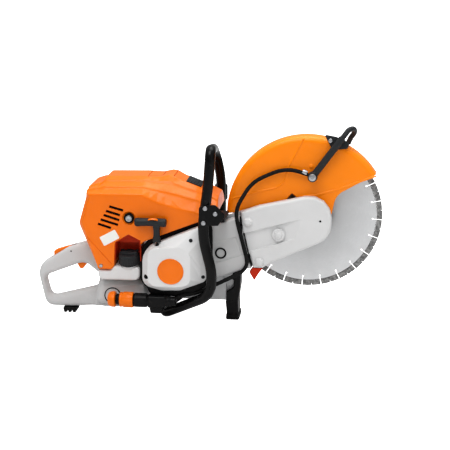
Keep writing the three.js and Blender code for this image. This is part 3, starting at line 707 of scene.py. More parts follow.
def hood_details():
    lo, hi = span("engine_shroud")
    button = middle("decompression_button")
    near = HOOD_NEAR

    # dark rubber collar round the push button, and the button's crowned face
    collar = lathe("button_collar", [(8.8, -1.2), (10.6, -2.2), (11.8, -0.5), (11.8, 6), (8.8, 6)],
        (button.x, near, button.z), (0, 1, 0))
    piece(shade(bevel(collar, 0.4), 40), RUBBER, "machine", "black_rubber")
    b_lo, b_hi = span("decompression_button")
    crown = lathe("push_button", [
        (0, 1.2), (3.5, 0.4), (5.2, 0.2), (5.6, 1.4), (7.2, 1.6), (8, 3), (8, b_hi.y - b_lo.y), (0,
            b_hi.y - b_lo.y),
    ], (button.x, b_lo.y, button.z), (0, 1, 0))
    piece(shade(crown, 35), STEEL, "decompression_button", "machined_steel", "decompression_button")

    # fine mesh behind the cooling slots, coloured near-black as painted shade seen through them
    (x0, z0), (x1, z1) = rel("engine_shroud", [(39.5, 96), (111.5, 158)])
    for name, y in (("vent_screen_near", near + 4.2), ("vent_screen_far", HOOD_FAR - 6.2)):
        def screen(bm, y=y):
            add_slab(bm, rectangle(x0, z0, x1, z1), y, y + 1.2)
            for k in range(24):
                x = x0 + (k + 0.5) * (x1 - x0) / 24
                add_slab(bm, bar_outline((x, z0), (x, z1), 1.0), y - 0.8, y + 0.3)
        piece(build(name, screen), HOLE_SHADOW, "machine", "black_rubber")

    # black intake grille on the slope of the roof
    (gx0, gz0), (gx1, gz1) = rel("engine_shroud", [(246.5, 205.5), (281.5, 192.5)])
    run = Vector((gx1 - gx0, gz1 - gz0)).normalized()
    up = Vector((-run.y, run.x))
    start = Vector((gx0, gz0))
    length = (Vector((gx1, gz1)) - start).length

    def grille(bm):
        frame_line = [start - up * 3, start + run * length - up * 3, start + run * length + up * 2.4,
            start + up * 2.4]
        add_slab(bm, frame_line, -30, 26)
        for k in range(5):
            foot = start + run * (5 + k * (length - 10) / 4)
            add_slab(bm, bar_outline(foot - up, foot + up * 4, 2.2), -26, 22)
    piece(shade(bevel(build("roof_grille", grille), 0.5), 35), DARK, "machine", "dark_plastic")

    # screws through the lower flange, near and far
    (sx, sz), = rel("engine_shroud", [(50.5, 9)])
    screw("flange_screw_near", (sx, near, sz), (0, -1, 0), 4.6, STEEL)
    screw("flange_screw_far", (sx, HOOD_FAR, sz), (0, 1, 0), 4.6, STEEL)

    # plain sticker without any print
    corners = rel("engine_shroud", [(48.5, 78), (85.5, 98), (96.5, 78), (59.5, 57)])
    sticker = slab("blank_sticker", rounded([(x, z, 2.5) for x, z in corners]), near - 0.25, near + 0.4)
    piece(sticker, LABEL, "machine", "white_plastic")

    # painted shade: darker red inside the pocket over the filler cap, ending where the tank begins
    (tall, tall_deep), (low, low_deep) = cap_wells()
    foot = span("fuel_tank")[1].z + 1
    pocket = slab("cap_pocket_shade", inset(tall, 0.6), near + 2.6, tall_deep - 0.7)
    boolean(pocket, lambda bm: add_slab(bm, inset(low, 0.6), near + 2.6, low_deep - 0.7), "UNION")
    boolean(pocket, lambda bm: add_slab(bm, inset(tall, 1.8), near - 5, tall_deep - 1.9))
    boolean(pocket, lambda bm: add_slab(bm, inset(low, 1.8), near - 5, low_deep - 1.9))
    boolean(pocket, lambda bm: add_slab(
        bm, rectangle(lo.x, 0, hi.x, foot), near - 5, 0))
    piece(shade(bevel(pocket, 0.4), 35), POCKET_SHADE_RED, "machine", "orange_plastic")


def screw(name, place, axis, radius, material, body="machine", slot="machined_steel", sunk=0.0):
    """A pan-head screw with a round socket."""
    obj = lathe(name, [
        (0, -2.5), (radius * 0.8, -2.5), (radius, -0.5 - sunk), (radius, 0.9 - sunk), (radius * 0.85,
            1.9 - sunk),
        (radius * 0.55, 2.3 - sunk), (radius * 0.5, 0.8 - sunk), (0, 0.8 - sunk),
    ], place, axis, 24)
    return piece(shade(obj, 35), material, body, slot)


# ---------------------------------------------------------------- tank, cap and starter
def tank():
    _, hi = span("fuel_tank")
    outline = rounded(rel("fuel_tank", [
        (0, 0, 12), (100, 0, 14), (100, 32, 6), (80, 35), (36, 35),
        (30, 24.5), (0, 24.5),
    ]))
    cap = middle("fuel_cap")

    body = soft_slab("fuel_tank_shell", outline, -79, 72, 5)
    melt(body, 1.5, 4, 0.5)
    lean = math.radians(11)
    tilt = Vector((0, -math.sin(lean), math.cos(lean)))
    foot = Vector((cap.x, -62, hi.z - 12.3))
    neck = lathe("filler_neck", [(14, -4), (20, -4), (20, 1.5), (18, 2.5), (18, 8.7), (14, 8.7)], foot,
        tilt)
    piece(shade(neck, 35), WHITE, "machine", "white_plastic")
    boolean(body, lambda bm: add_lathe(bm, [(0, -12), (14, -12), (14, 20), (0, 20)], foot, tilt, 32))
    shade(body, 45)
    piece(body, WHITE, "machine", "white_plastic", "fuel_tank")

    # knurled cap with a finger bar across its top
    def knurl(bm):
        ribs, rows = 30, []
        for r, h in ((21.6, 2.6), (23.6, 4), (24.2, 12), (23.9, 26), (22.6, 28.9), (20.5, 29.8)):
            row = []
            for k in range(ribs * 4):
                out = 0.9 if k % 4 in (0, 1) and 3.5 < h < 28 else 0
                a = 2 * math.pi * k / (ribs * 4)
                row.append(Vector(((r + out - 0.6) * math.cos(a), (r + out - 0.6) * math.sin(a), h)))
            rows.append(row)
        add_rings(bm, rows)
    cap_body = build("filler_cap", knurl)

    def hollow(bm):
        add_lathe(bm, [(0, 0), (18.6, 0), (18.6, 12), (0, 12)], (0, 0, 0), (0, 0, 1), 32)
        add_lathe(bm, [(0, 31), (18, 31), (17, 28), (0, 28)], (0, 0, 0), (0, 0, 1), 40)
    boolean(cap_body, hollow)

    def bar(bm):
        for half_x, half_y, low, high in ((20.5, 3.4, 26, 33.6), (19, 5.2, 26, 30.8)):
            add_rings(bm, [
                [(sx * w, sy * half_y * s, h) for sx, sy in ((-1, -1), (1, -1), (1, 1), (-1, 1))]
                for h, w, s in ((low, half_x, 1), (high - 1, half_x, 1), (high, half_x - 1, 0.7))
            ])
        for side in (-1, 1):
            add_rings(bm, [
                [(side * 17 + sx * 3.5, 14 + sy * 3, h) for sx,
                    sy in ((-1, -1), (1, -1), (1, 1), (-1, 1))]
                for h in (26, 32)
            ])
    grip = build("cap_bar", bar)
    for obj in (cap_body, grip):
        obj.data.transform(Matrix.Translation(foot * MM) @ Matrix.Rotation(lean, 4, "X"))
    shade(bevel(cap_body, 0.35), 40)
    piece(cap_body, DARK, "fuel_cap", "dark_plastic", "fuel_cap")
    piece(shade(bevel(grip, 0.8, 3), 40), DARK, "fuel_cap", "dark_plastic")


def starter():
    cover = cad_copy("starter_shell", "starter_cover")
    boolean(cover, lambda bm: add_lathe(
        bm, [(0, -4), (5.6, -4), (5.6, 30), (0, 30)], (starter_hole()[0], DOME_Y,
            starter_hole()[1]), (0, 1, 0), 24))
    piece(melt(cover, 1.1, 3, 0.6), WHITE, "machine", "white_plastic", "starter_cover")

    # black gasket that stands proud round the cover
    rim = rounded(rel("starter_cover", [
        (0.8, 99.7, 45), (150.8, 162.7, 14), (150.8, 26.7, 14), (88.8, 1.7, 20), (44.8, -0.3,
            40), (-0.2, 11.7, 24)]))
    gasket = slab("housing_gasket", inset(rim, -11.5), -67.5, -60, [inset(rim, 6)])
    piece(shade(bevel(gasket, 0.8, 2, 50), 40), RUBBER, "machine", "black_rubber", "cover_seal")
    skid = rounded(rel("starter_cover", [
        (2.8, 15.7, 6), (14.8, -12.3, 14), (92.8, -18.3, 10), (152.8, 11.7, 6), (150.8, 33.7, 3), (88.8,
            9.7), (44.8, 7.7)]))
    bumper = soft_slab("lower_bumper", skid, -84, -62, 3)
    piece(melt(bumper, 1.0, 2, 0.5), RUBBER, "machine", "black_rubber")

    # plain disc where a badge sits, with a shallow raised rim
    ring = lathe("badge", [
        (0, -1.3), (27.5, -1.3), (28.4, -1.9), (30, -1.9), (30.8, -1.2), (30.8, 1.5), (0, 1.5),
    ], (CRANK.x + 1, DOME_Y, CRANK.z), (0, 1, 0), 96)
    piece(shade(ring, 30), ORANGE, "machine", "orange_plastic")
    skin = BVHTree.FromPolygons([v.co / MM for v in cover.data.vertices],
        [f.vertices for f in cover.data.polygons])
    for name, x, z in (("starter_screw_upper", 116.8, 126.7), ("starter_screw_lower", 143.8, 37.7)):
        (sx, sz), = rel("starter_cover", [(x, z)])
        spot, normal, _, _ = skin.ray_cast(Vector((sx, -300, sz)), Vector((0, 1, 0)))
        screw(name, spot - normal * 0.6, normal, 4.4, DARK, slot="dark_plastic")
    hx, hz = starter_hole()
    # painted shadow: a near-black plug inside the rope hole stands for the shade in it
    plug = lathe("starter_hole_shadow", [(0, 9), (5.2, 9), (5.2, 26), (0, 26)], (hx, DOME_Y, hz),
        (0, 1, 0), 24)
    piece(plug, HOLE_SHADOW, "machine", "black_rubber")

    # pull grip: a soft bar on a tapering stem, with a plain oval inlay
    lo, hi = span("starter_grip")
    y = (lo.y + hi.y) / 2
    rope = middle("starter_rope")

    def handle(bm):
        points = [(lo.x + 3 + k * (hi.x - lo.x - 6) / 20, y,
            hi.z - 10.5 + 1.2 * math.sin(math.pi * k / 20))
                  for k in range(21)]
        add_sweep(bm, points, lambda t: 10.6 * (1 - 0.13 * math.sin(math.pi * t)) * min(1,
            0.82 + 3 * min(t, 1 - t)))
        rings = []
        for h, wide, deep in ((lo.z - 2, 9.4, 7.6), (lo.z + 3, 9.6, 7.8), (lo.z + 12, 7.6, 6.4),
                (lo.z + 24, 7.2, 6.2),
                              (lo.z + 34, 8.4, 7), (lo.z + 42, 12.5, 8)):
            rings.append([
                (rope.x - 0.5 + wide * math.copysign(abs(math.cos(a)) ** 0.6, math.cos(a)),
                 y + deep * math.copysign(abs(math.sin(a)) ** 0.6, math.sin(a)), h)
                for a in (2 * math.pi * (k + 0.5) / 24 for k in range(24))
            ])
        add_rings(bm, rings)
    grip = build("pull_grip", handle)
    piece(melt(grip, 0.9, 4, 0.5), DARK, "starter_grip", "dark_plastic", "starter_grip")
    tilt = Matrix.Rotation(math.radians(-42), 3, "X")
    middle_point = Vector((middle("starter_grip").x + 7, y - 6.3, hi.z - 2.6))
    inlay = build("grip_inlay", lambda bm: add_rings(bm, [
        [middle_point + tilt @ Vector((w * math.cos(a), d * math.sin(a),
            h - (w * math.cos(a)) ** 2 / 400))
         for a in turns(40)]
        for w, d, h in ((11.5, 5.2, -1.6), (11.5, 5.2, 1.9), (8.6, 2.8, 1.9), (8.6, 2.8, -1.6))
    ], closed=True))
    piece(shade(inlay, 35), ORANGE, "starter_grip", "orange_plastic")

    # rope: two strands laid round each other
    r_lo, r_hi = span("starter_rope")

    def strands(bm):
        for phase in (0, math.pi):
            points = [
                (rope.x + 0.9 * math.cos(phase + h * 1.2), rope.y + 0.9 * math.sin(phase + h * 1.2),
                    r_lo.z + h)
                for h in (k * (r_hi.z - r_lo.z) / 70 for k in range(71))
            ]
            add_sweep(bm, points, 1.3, 8)
    cord = build("pull_rope", strands)
    melt(cord, 0.45, 1)
    cord.data.materials.append(RUBBER)
    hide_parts("starter_rope")
    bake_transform(cord)


def starter_hole():
    (x, z), = rel("starter_cover", [(10.8, 35.7)])
    return x, z


# ---------------------------------------------------------------- rear handle and feet
def rear_handle():
    loop = rounded(rel("rear_handle", [
        (177, 180), (77, 153, 34), (-5, 100, 42), (16, 0, 22), (77, 0, 60), (177, 8), (177, 87),
    ]))
    hole = rounded(rel("rear_handle", [
        (16, 76, 16), (115, 115, 26), (153, 85, 16), (145, 54, 14), (28, 23, 14),
    ]))
    base = rounded(rel("rear_handle", [
        (148, 23, 12), (261, 23, 14), (277, 37, 12), (277, 84, 4), (164, 84, 10), (151, 53, 20),
    ]))
    keel = rounded(rel("rear_handle", [(177, 9, 8), (265, 11, 14), (273, 47, 12), (181, 47, 10)]))
    flare_starts = rel("rear_handle", [(159, 8), (141, 7.5), (123, 7), (105, 7)])
    lever = rel("rear_handle", [(31, 111), (93, 129), (99, 187), (31, 187)])
    trigger = rel("rear_handle", [(89, 85), (138, 85), (138, 134), (89, 134)])

    def shape(bm):
        add_soft_slab(bm, loop, -18, 18, 11, 5, holes=[hole])
        add_soft_slab(bm, base, -58, 58, 16, 5)
        add_soft_slab(bm, keel, -40, 40, 14, 5)
        for (x, z), half in zip(flare_starts, (34, 28, 23, 20)):
            wedge = vectors(((x, z), (x + 70, z + 2), (x + 70, z + 36), (x + 8, z + 28)))
            add_soft_slab(bm, wedge, -half, half, 0.3 * half)
    body = build("rear_handle_moulding", shape)
    melt(body, 2.0, 10)

    def pockets(bm):
        for outline in (lever, trigger):
            add_slab(bm, vectors(outline), -8, 8)
    boolean(body, pockets)
    piece(melt(body, 1.3, 3, 0.5), GREY, "machine", "grey_plastic", "rear_handle")

    # buffer plug in the side of the frame, and the lever's pin in the grip
    (px, pz), (ax, az) = rel("rear_handle", [(193, 47), (84, 142)])
    lo, hi = span("rear_handle")
    for name, y, way in (("buffer_plug_near", lo.y, -1), ("buffer_plug_far", hi.y, 1)):
        plug = lathe(name, [
            (0, 1.6), (11, 1.6), (13, 2.2), (17, 2.4), (17.8, 1.2), (18, -3), (0, -3),
        ], (px, y - way * 0.6, pz), (0, way, 0), 64)
        piece(shade(plug, 35), GREY, "machine", "grey_plastic")
        ring = lathe(name.replace("plug", "plug_ring"), [
            (18.2, -3), (18.2, 1.2), (20.4, 1.2), (20.8, -3)], (px, y - way * 0.6, pz), (0, way, 0), 64)
        piece(shade(ring, 35), RUBBER, "machine", "black_rubber")
    for name, y, way in (("lever_pin_near", -18, -1), ("lever_pin_far", 18, 1)):
        pin = lathe(name, [(0, 0.5), (1.6, 0.4), (1.9, -0.2), (1.9, -6), (0, -6)], (ax, y, az),
            (0, way, 0), 20)
        piece(shade(pin, 35), DARK, "machine", "dark_plastic")

    trigger = cad_copy("trigger_blade", "throttle_trigger")
    piece(melt(trigger, 0.7, 8, 0.5), ORANGE, "throttle_trigger", "orange_plastic", "throttle_trigger")
    outline = rounded(rel("throttle_lockout", [
        (2.5, -2), (1.5, 10, 5), (10, 15.5, 8), (37, 24.5, 6), (52, 22, 5), (52, 10, 4), (39, 7),
    ]))
    lockout = soft_slab("lockout_lever", outline, -6.8, 6.8, 3)
    piece(melt(lockout, 0.7, 6, 0.5), ORANGE, "throttle_lockout", "orange_plastic", "throttle_lockout")
    f_lo, f_hi = span("rear_foot")
    x0, x1 = f_lo.x + 7, f_hi.x - 6
    width = (x1 - x0) / 3

    def toothed(bm):
        plate = rectangle(x0, f_lo.z + 8, x1, f_hi.z)
        add_soft_slab(bm, plate, f_lo.y, f_hi.y, 1.5)
        for k in range(3):
            left = x0 + k * width
            tooth = rounded([(left + 2, f_lo.z, 1), (left + width - 3, f_lo.z, 1),
                (left + width, f_lo.z + 9),
                             (left, f_lo.z + 9)])
            add_soft_slab(bm, tooth, f_lo.y, f_hi.y, 1.5)
    foot = build("rear_foot_pad", toothed)
    piece(melt(foot, 0.8, 2, 0.4), RUBBER, "machine", "black_rubber", "rear_foot")


def front_leg():
    leg = cad_copy("front_leg_casting", "front_leg")
    piece(melt(leg, 1.3, 8, 0.5), BRACKET, "machine", "black_bracket", "front_leg")
    gusset_outline = rounded(rel("front_leg", [(3, 35.7, 2), (31, 35.7, 2), (36, 69.7), (39, 119.7),
        (21, 111.7), (21, 69.7, 14),
                                               (2, 57.7, 5)]))
    gusset = soft_slab("leg_gusset", gusset_outline, -34.5, -25, 2)
    piece(melt(gusset, 1.0, 2, 0.5), BRACKET, "machine", "black_bracket")
    web_outline = rounded(rel("front_leg", [(-7, 45.7, 6), (9, 48.7, 8), (22, 63.7, 6), (25, 115.7),
        (-7, 103.7)]))
    web = soft_slab("leg_web", web_outline, -20, 20, 4)
    piece(melt(web, 1.0, 3, 0.5), CAST, "machine", "cast_metal")
    lo, hi = span("front_foot")

    def pad(bm):
        outline = rounded([(lo.x, lo.z, 3), (hi.x, lo.z, 3), (hi.x, hi.z, 2), (lo.x, hi.z, 2)])
        add_soft_slab(bm, outline, lo.y, hi.y, 2.5)
        for k in range(7):
            y = lo.y + 5 + k * (hi.y - lo.y - 10) / 6
            add_slab(bm, bar_outline((lo.x - 0.6, lo.z + 5), (hi.x + 0.6, lo.z + 5), 5), y - 1.6, y + 1.6)
    foot = build("front_foot_pad", pad)
    piece(melt(foot, 0.8, 3, 0.4), RUBBER, "machine", "black_rubber", "front_foot")


# ---------------------------------------------------------------- bars and hose
def tube_copy(name, node, grow, levels=2):
    """A CAD bar as a smooth subdivided skin, grown first so that subdivision leaves it at its own size."""
    bm = cad_mesh(node)
    bmesh.ops.join_triangles(bm, faces=bm.faces, angle_face_threshold=0.7, angle_shape_threshold=0.9)
    bm.normal_update()
    for vert in bm.verts:
        vert.co += vert.normal * grow
    obj = new_object(name, bm)
    modifier = obj.modifiers.new("skin", "SUBSURF")
    modifier.levels = modifier.render_levels = levels
    return shade(applied(obj))


def front_handle():
    corners = rel("front_handle", [
        (12.1, 12.1), (12.1, 12.1), (133.1, 85.1), (141.1, 134.1), (116.1, 235.1), (131.1,
            344.1), (137.1, 429.1), (115.1, 389.1),
        (133.1, 329.1), (133.1, 91.1), (27.1, 23.1), (19.1, 19.1),
    ])
    depths = (22, -34, -112, -112, -112, -112, -112, 112, 112, 112, 56, 46)
    reaches = (0, 26, 30, 30, 40, 30, 28, 34, 40, 36, 18, 0)
    path = bent([(x, y, z, reach) for (x, z), y, reach in zip(corners, depths, reaches)])

    def round_bar(bm):
        add_sweep(bm, path, lambda share: 12 if 0.003 < share < 0.997 else 10.5, 40)
    bar = build("front_handle_bar", round_bar)
    piece(shade(bar, 60), TUBE, "machine", "black_tube", "front_handle")
    plate_near = cad_copy("handle_plate_near", "handle_bracket_near")
    corner = rel("handle_bracket_near", [(37.9, -7.2), (65.9, -7.2), (65.9, 18.8), (56.9, 18.8)])
    boolean(plate_near, lambda bm: add_slab(bm, vectors(corner), -135, -110))
    piece(melt(plate_near, 1.0, 3, 0.5), BRACKET, "machine", "black_bracket", "handle_bracket_near")
    plate_far = cad_copy("handle_plate_far", "handle_bracket_far")
    piece(melt(plate_far, 1.0, 3, 0.5), BRACKET, "machine", "black_bracket", "handle_bracket_far")
    lo, _ = span("handle_bracket_near")
    _, far = span("handle_bracket_far")
    for i, (x, z) in enumerate(rel("handle_bracket_near", [(14.9, 40.8), (10.9, 6.8), (37.9, 28.8)])):
        screw(f"plate_screw_near_{i}", (x, lo.y - 0.4, z), (0, -1, 0), 5.2, STEEL)
    for i, (x, z) in enumerate(rel("handle_bracket_near", [(15.9, 35.8), (15.9, 10.8)])):
        screw(f"plate_screw_far_{i}", (x, far.y + 0.4, z), (0, 1, 0), 5.2, STEEL)

    # clamp that ties the bar's lower run to the water coupling
    c_lo, c_hi = span("water_coupling")
    outline = rounded([(c_hi.x - 53, c_lo.z - 12, 4), (c_hi.x - 26, c_lo.z - 12, 4),
                       (c_hi.x - 22, c_lo.z + 9, 3), (c_hi.x - 57, c_lo.z + 9, 3)])
    clamp = soft_slab("bar_clamp", outline, -104, -60, 3)
    piece(melt(clamp, 0.9, 4, 0.5), BRACKET, "machine", "black_bracket")


def water_line():
    hose = tube_copy("hose_skin", "water_hose", 1.1)
    hose.data.materials.append(RUBBER)
    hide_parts("water_hose")
    _, hi = span("water_hose")
    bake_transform(hose)

    c_lo, c_hi = span("water_coupling")
    axis_y, axis_z = (c_lo.y + c_hi.y) / 2, (c_lo.z + c_hi.z) / 2

    def along_x(profile, steps=48):
        return lambda bm: add_lathe(bm, profile, (c_lo.x, axis_y, axis_z), (1, 0, 0), steps)

    nose = build("coupling_nose", along_x([
        (6, 5), (6, 1), (9, 0), (12.5, 0.6), (15.4, 2.4), (17.4, 5.6), (18.4, 9.5), (18.8, 14), (18.4,
            17),
        (17, 18), (12, 18.4), (6, 18.4),
    ]))
    piece(shade(nose, 35), ORANGE, "machine", "orange_plastic")

    def neck(bm):
        add_lathe(bm, [(0, 8), (5.8, 8), (5.8, 19.6), (12.2, 19.6), (12.2, 62), (16, 62.6), (16.6, 66),
            (16.6, 88),
                       (15.8, 93), (13.6, 95), (13.6, 140), (12.4, 146), (10.5, 150), (10.5, 162), (0,
                           162)],
                  (c_lo.x, axis_y, axis_z), (1, 0, 0), 48)
        for k in range(3):
            start = 20.5 + k * 3
            add_lathe(bm, [(12, start), (13.4, start + 0.4), (13.4, start + 1.6), (12, start + 2)],
                      (c_lo.x, axis_y, axis_z), (1, 0, 0), 48)
        outline = rounded([(c_lo.x + 64, axis_z - 9, 2), (c_lo.x + 90, axis_z - 9, 2),
                           (c_lo.x + 90, axis_z + 9, 2), (c_lo.x + 64, axis_z + 9, 2)])
        add_soft_slab(bm, outline, axis_y - 17.4, axis_y, 1.5)
        block = rounded([(c_lo.x + 96, axis_z - 15, 4), (c_lo.x + 140, axis_z - 12, 5),
                         (c_lo.x + 140, axis_z + 14, 6), (c_lo.x + 96, axis_z + 14, 4)])
        add_soft_slab(bm, block, axis_y - 15, axis_y + 15, 5)
    body = build("coupling_body", neck)
    piece(melt(body, 0.8, 3, 0.5), BRACKET, "machine", "black_rubber", "water_coupling")

    s_lo, s_hi = span("coupling_sleeve")
    length = s_hi.x - s_lo.x
    radius = (s_hi.z - s_lo.z) / 2

    def sleeve_shape(bm):
        rows = []
        sides = 96
        for r, h in ((14.4, 0), (radius - 2, 0), (radius - 0.8, 1), (radius - 0.8, 3.4),
                (radius - 1.8, 4.6),
                     (radius - 1.4, 7), (radius, 10), (radius, length - 3), (radius - 1.2,
                         length), (14.4, length)):
            rows.append([
                Vector((s_lo.x + h, axis_y + (r - out) * math.cos(a), axis_z + (r - out) * math.sin(a)))
                for a, out in (
                    (2 * math.pi * k / sides, 0.7 if k % 6 in (0, 1) and 8 < h < length - 2 else 0)
                    for k in range(sides))
            ])
        add_rings(bm, rows, closed=True)
    sleeve = build("release_sleeve", sleeve_shape)
    piece(shade(bevel(sleeve, 0.3), 40), ORANGE, "coupling_sleeve", "orange_plastic", "coupling_sleeve")

    # crimp collar on the hose end, and the round-headed bolt through the nozzle
    n_lo, _ = span("guard_handle")
    centre = (n_lo.x + 9, n_lo.y, n_lo.z + 9)
    collar = lathe("hose_collar", [
        (4.4, -6), (5.6, -5.6), (5.9, -3), (5.9, 3), (5.6, 5.6), (4.4, 6)],
        (hi.x - 9, -38.6, hi.z - 8.2), (0.93, -0.1, -0.36), 32)
    piece(shade(collar, 40), STEEL, "guard", "machined_steel")
    bolt = lathe("nozzle_bolt", [
        (0, 1), (2.8, 1), (3.4, 2.6), (6.4, 2.4), (8, 1.6), (8.6, 0.4), (8.6, -3), (0, -3)],
        (centre[0], centre[1] - 3.6, centre[2]), (0, -1, 0), 32)
    piece(shade(bolt, 35), STEEL, "guard", "machined_steel")


# ---------------------------------------------------------------- cutting arm
def raised_cover(name, node, outline, soft, pocket, backing, material, slot, cutters):
    """A CAD cover with a rounded front edge and shapes pressed into its face, thickened behind the pocket."""
    lo, hi = span(node)
    cover = cad_copy(name, node)
    boolean(cover, lambda bm: add_soft_slab(bm, outline, lo.y, hi.y + soft + 4, soft), "INTERSECT")
    boolean(cover, lambda bm: add_slab(bm, inset(pocket, -3), lo.y + 1, backing), "UNION")
    for cutter in cutters:
        boolean(cover, cutter)
    melt(cover, 1.0, 2, 0.5)
    return piece(cover, material, "machine", slot, node)


def cutting_arm():
    outline = rel("arm_cover", [(-6, 80), (106, 112), (141, 123), (126, 75), (90, 63), (10, 35)])
    pocket = vectors(outline)
    face = ARM_COVER_Y
    depths = (4.5, 4.5, 0.2, 0.2, 4.5, 4.5)
    peep = rel("arm_cover", [(184, 118)])[0]

    def dished(bm):
        add_rings(bm, [
            [(x, face - 5, z) for x, z in outline],
            [(x, face + depth, z) for (x, z), depth in zip(outline, depths)],
        ])
    hole = [(0, -3), (2.8, -3), (2.8, 8), (0, 8)]
    edge = rounded(rel("arm_cover", [
        (0, 134), (43, 150), (210, 188, 51), (210, 77, 51), (70, 13), (51, 0), (30, 0), (1, 90)]))
    raised_cover("arm_cover_shell", "arm_cover", edge, 6, pocket, face + 7, COVER, "arm_cover_metal", [
        dished, lambda bm: add_lathe(bm, hole, (peep[0], face, peep[1]), (0, 1, 0), 20)])
    # painted shadow: a near-black plug inside the peep hole stands for the shade in it
    plug = lathe("peep_hole_shadow", [(0, 1.6), (2.7, 1.6), (2.7, 6), (0, 6)], (peep[0], face, peep[1]),
        (0, 1, 0), 20)
    piece(plug, HOLE_SHADOW, "machine", "black_rubber")
    band = rounded(rel("belt_cover", [(5, 83, 3), (63, 104, 3), (77, 59, 3), (16, 38, 3)]))
    edge = rounded(rel("belt_cover", [
        (0, 7), (0, 128, 5), (70, 149), (71, 115), (98, 27), (81, 25), (20, 0)]))
    raised_cover("belt_cover_shell", "belt_cover", edge, 4, band, BELT_COVER_Y + 5.5, GREY,
        "grey_plastic", [
        lambda bm: add_slab(bm, band, BELT_COVER_Y - 5, BELT_COVER_Y + 2.5)])
    (rx, rz), = rel("belt_cover", [(27, 62)])
    floor = BELT_COVER_Y + 2
    ring = lathe("inspection_plug", [
        (0, 1.6), (9.6, 1.6), (10.4, -0.4), (13, -0.8), (13.8, 0.4), (13.8, 3), (0, 3),
    ], (rx, floor, rz), (0, 1, 0), 64)
    piece(shade(ring, 30), GREY, "machine", "grey_plastic")
    groove = lathe("plug_groove", [
        (10, -1.2), (13, -1.4), (13.6, 0), (9.6, 0)], (rx, floor, rz), (0, 1, 0), 64)
    piece(shade(groove, 30), RUBBER, "machine", "black_rubber")

    # flanged nuts: smooth crowned heads on a washer face
    for node in ("arm_nut_upper", "arm_nut_middle", "arm_nut_lower"):
        lo, hi = span(node)
        c = (lo + hi) / 2
        wide = 14.5 if node == "arm_nut_middle" else 10.5

        def head(bm):
            add_lathe(bm, [(0, 0), (wide, 0), (wide + 0.6, -1), (wide, -2.4), (wide - 2.6, -3), (0, -3)],
                      (c.x, hi.y, c.z), (0, 1, 0), 48)
            add_rings(bm, [
                [(c.x + r * math.cos(math.pi * k / 3 + 0.3), y, c.z + r * math.sin(math.pi * k / 3 + 0.3))
                 for k in range(6)]
                for r, y in ((8.8, hi.y - 1), (8.8, lo.y + 1), (7.8, lo.y))
            ])
            add_lathe(bm, [(0, 1), (4.4, 1), (4.8, 0.2), (4.8, -0.6), (3.6, -1), (0, -0.9)],
                      (c.x, lo.y, c.z), (0, 1, 0), 32)
        nut = build(node + "_head", head)
        piece(melt(nut, 0.5, 2, 0.6), COVER, "machine", "arm_cover_metal", node)

    wedge = cad_copy("deflector_wedge", "spray_deflector")
    piece(melt(wedge, 0.8, 5, 0.5), RED, "machine", "red_plastic", "spray_deflector")

    # black strip in the seam between the covers
    (x0, z0), (x1, z1) = rel("arm_cover", [(0, 123), (27, 3)])
    strip = slab("cover_seam", bar_outline((x0 - 1.2, z0), (x1 - 1.2, z1), 2.6), ARM_COVER_Y + 0.6,
        ARM_COVER_Y + 9)
    piece(shade(bevel(strip, 0.4), 35), BRACKET, "machine", "black_rubber")


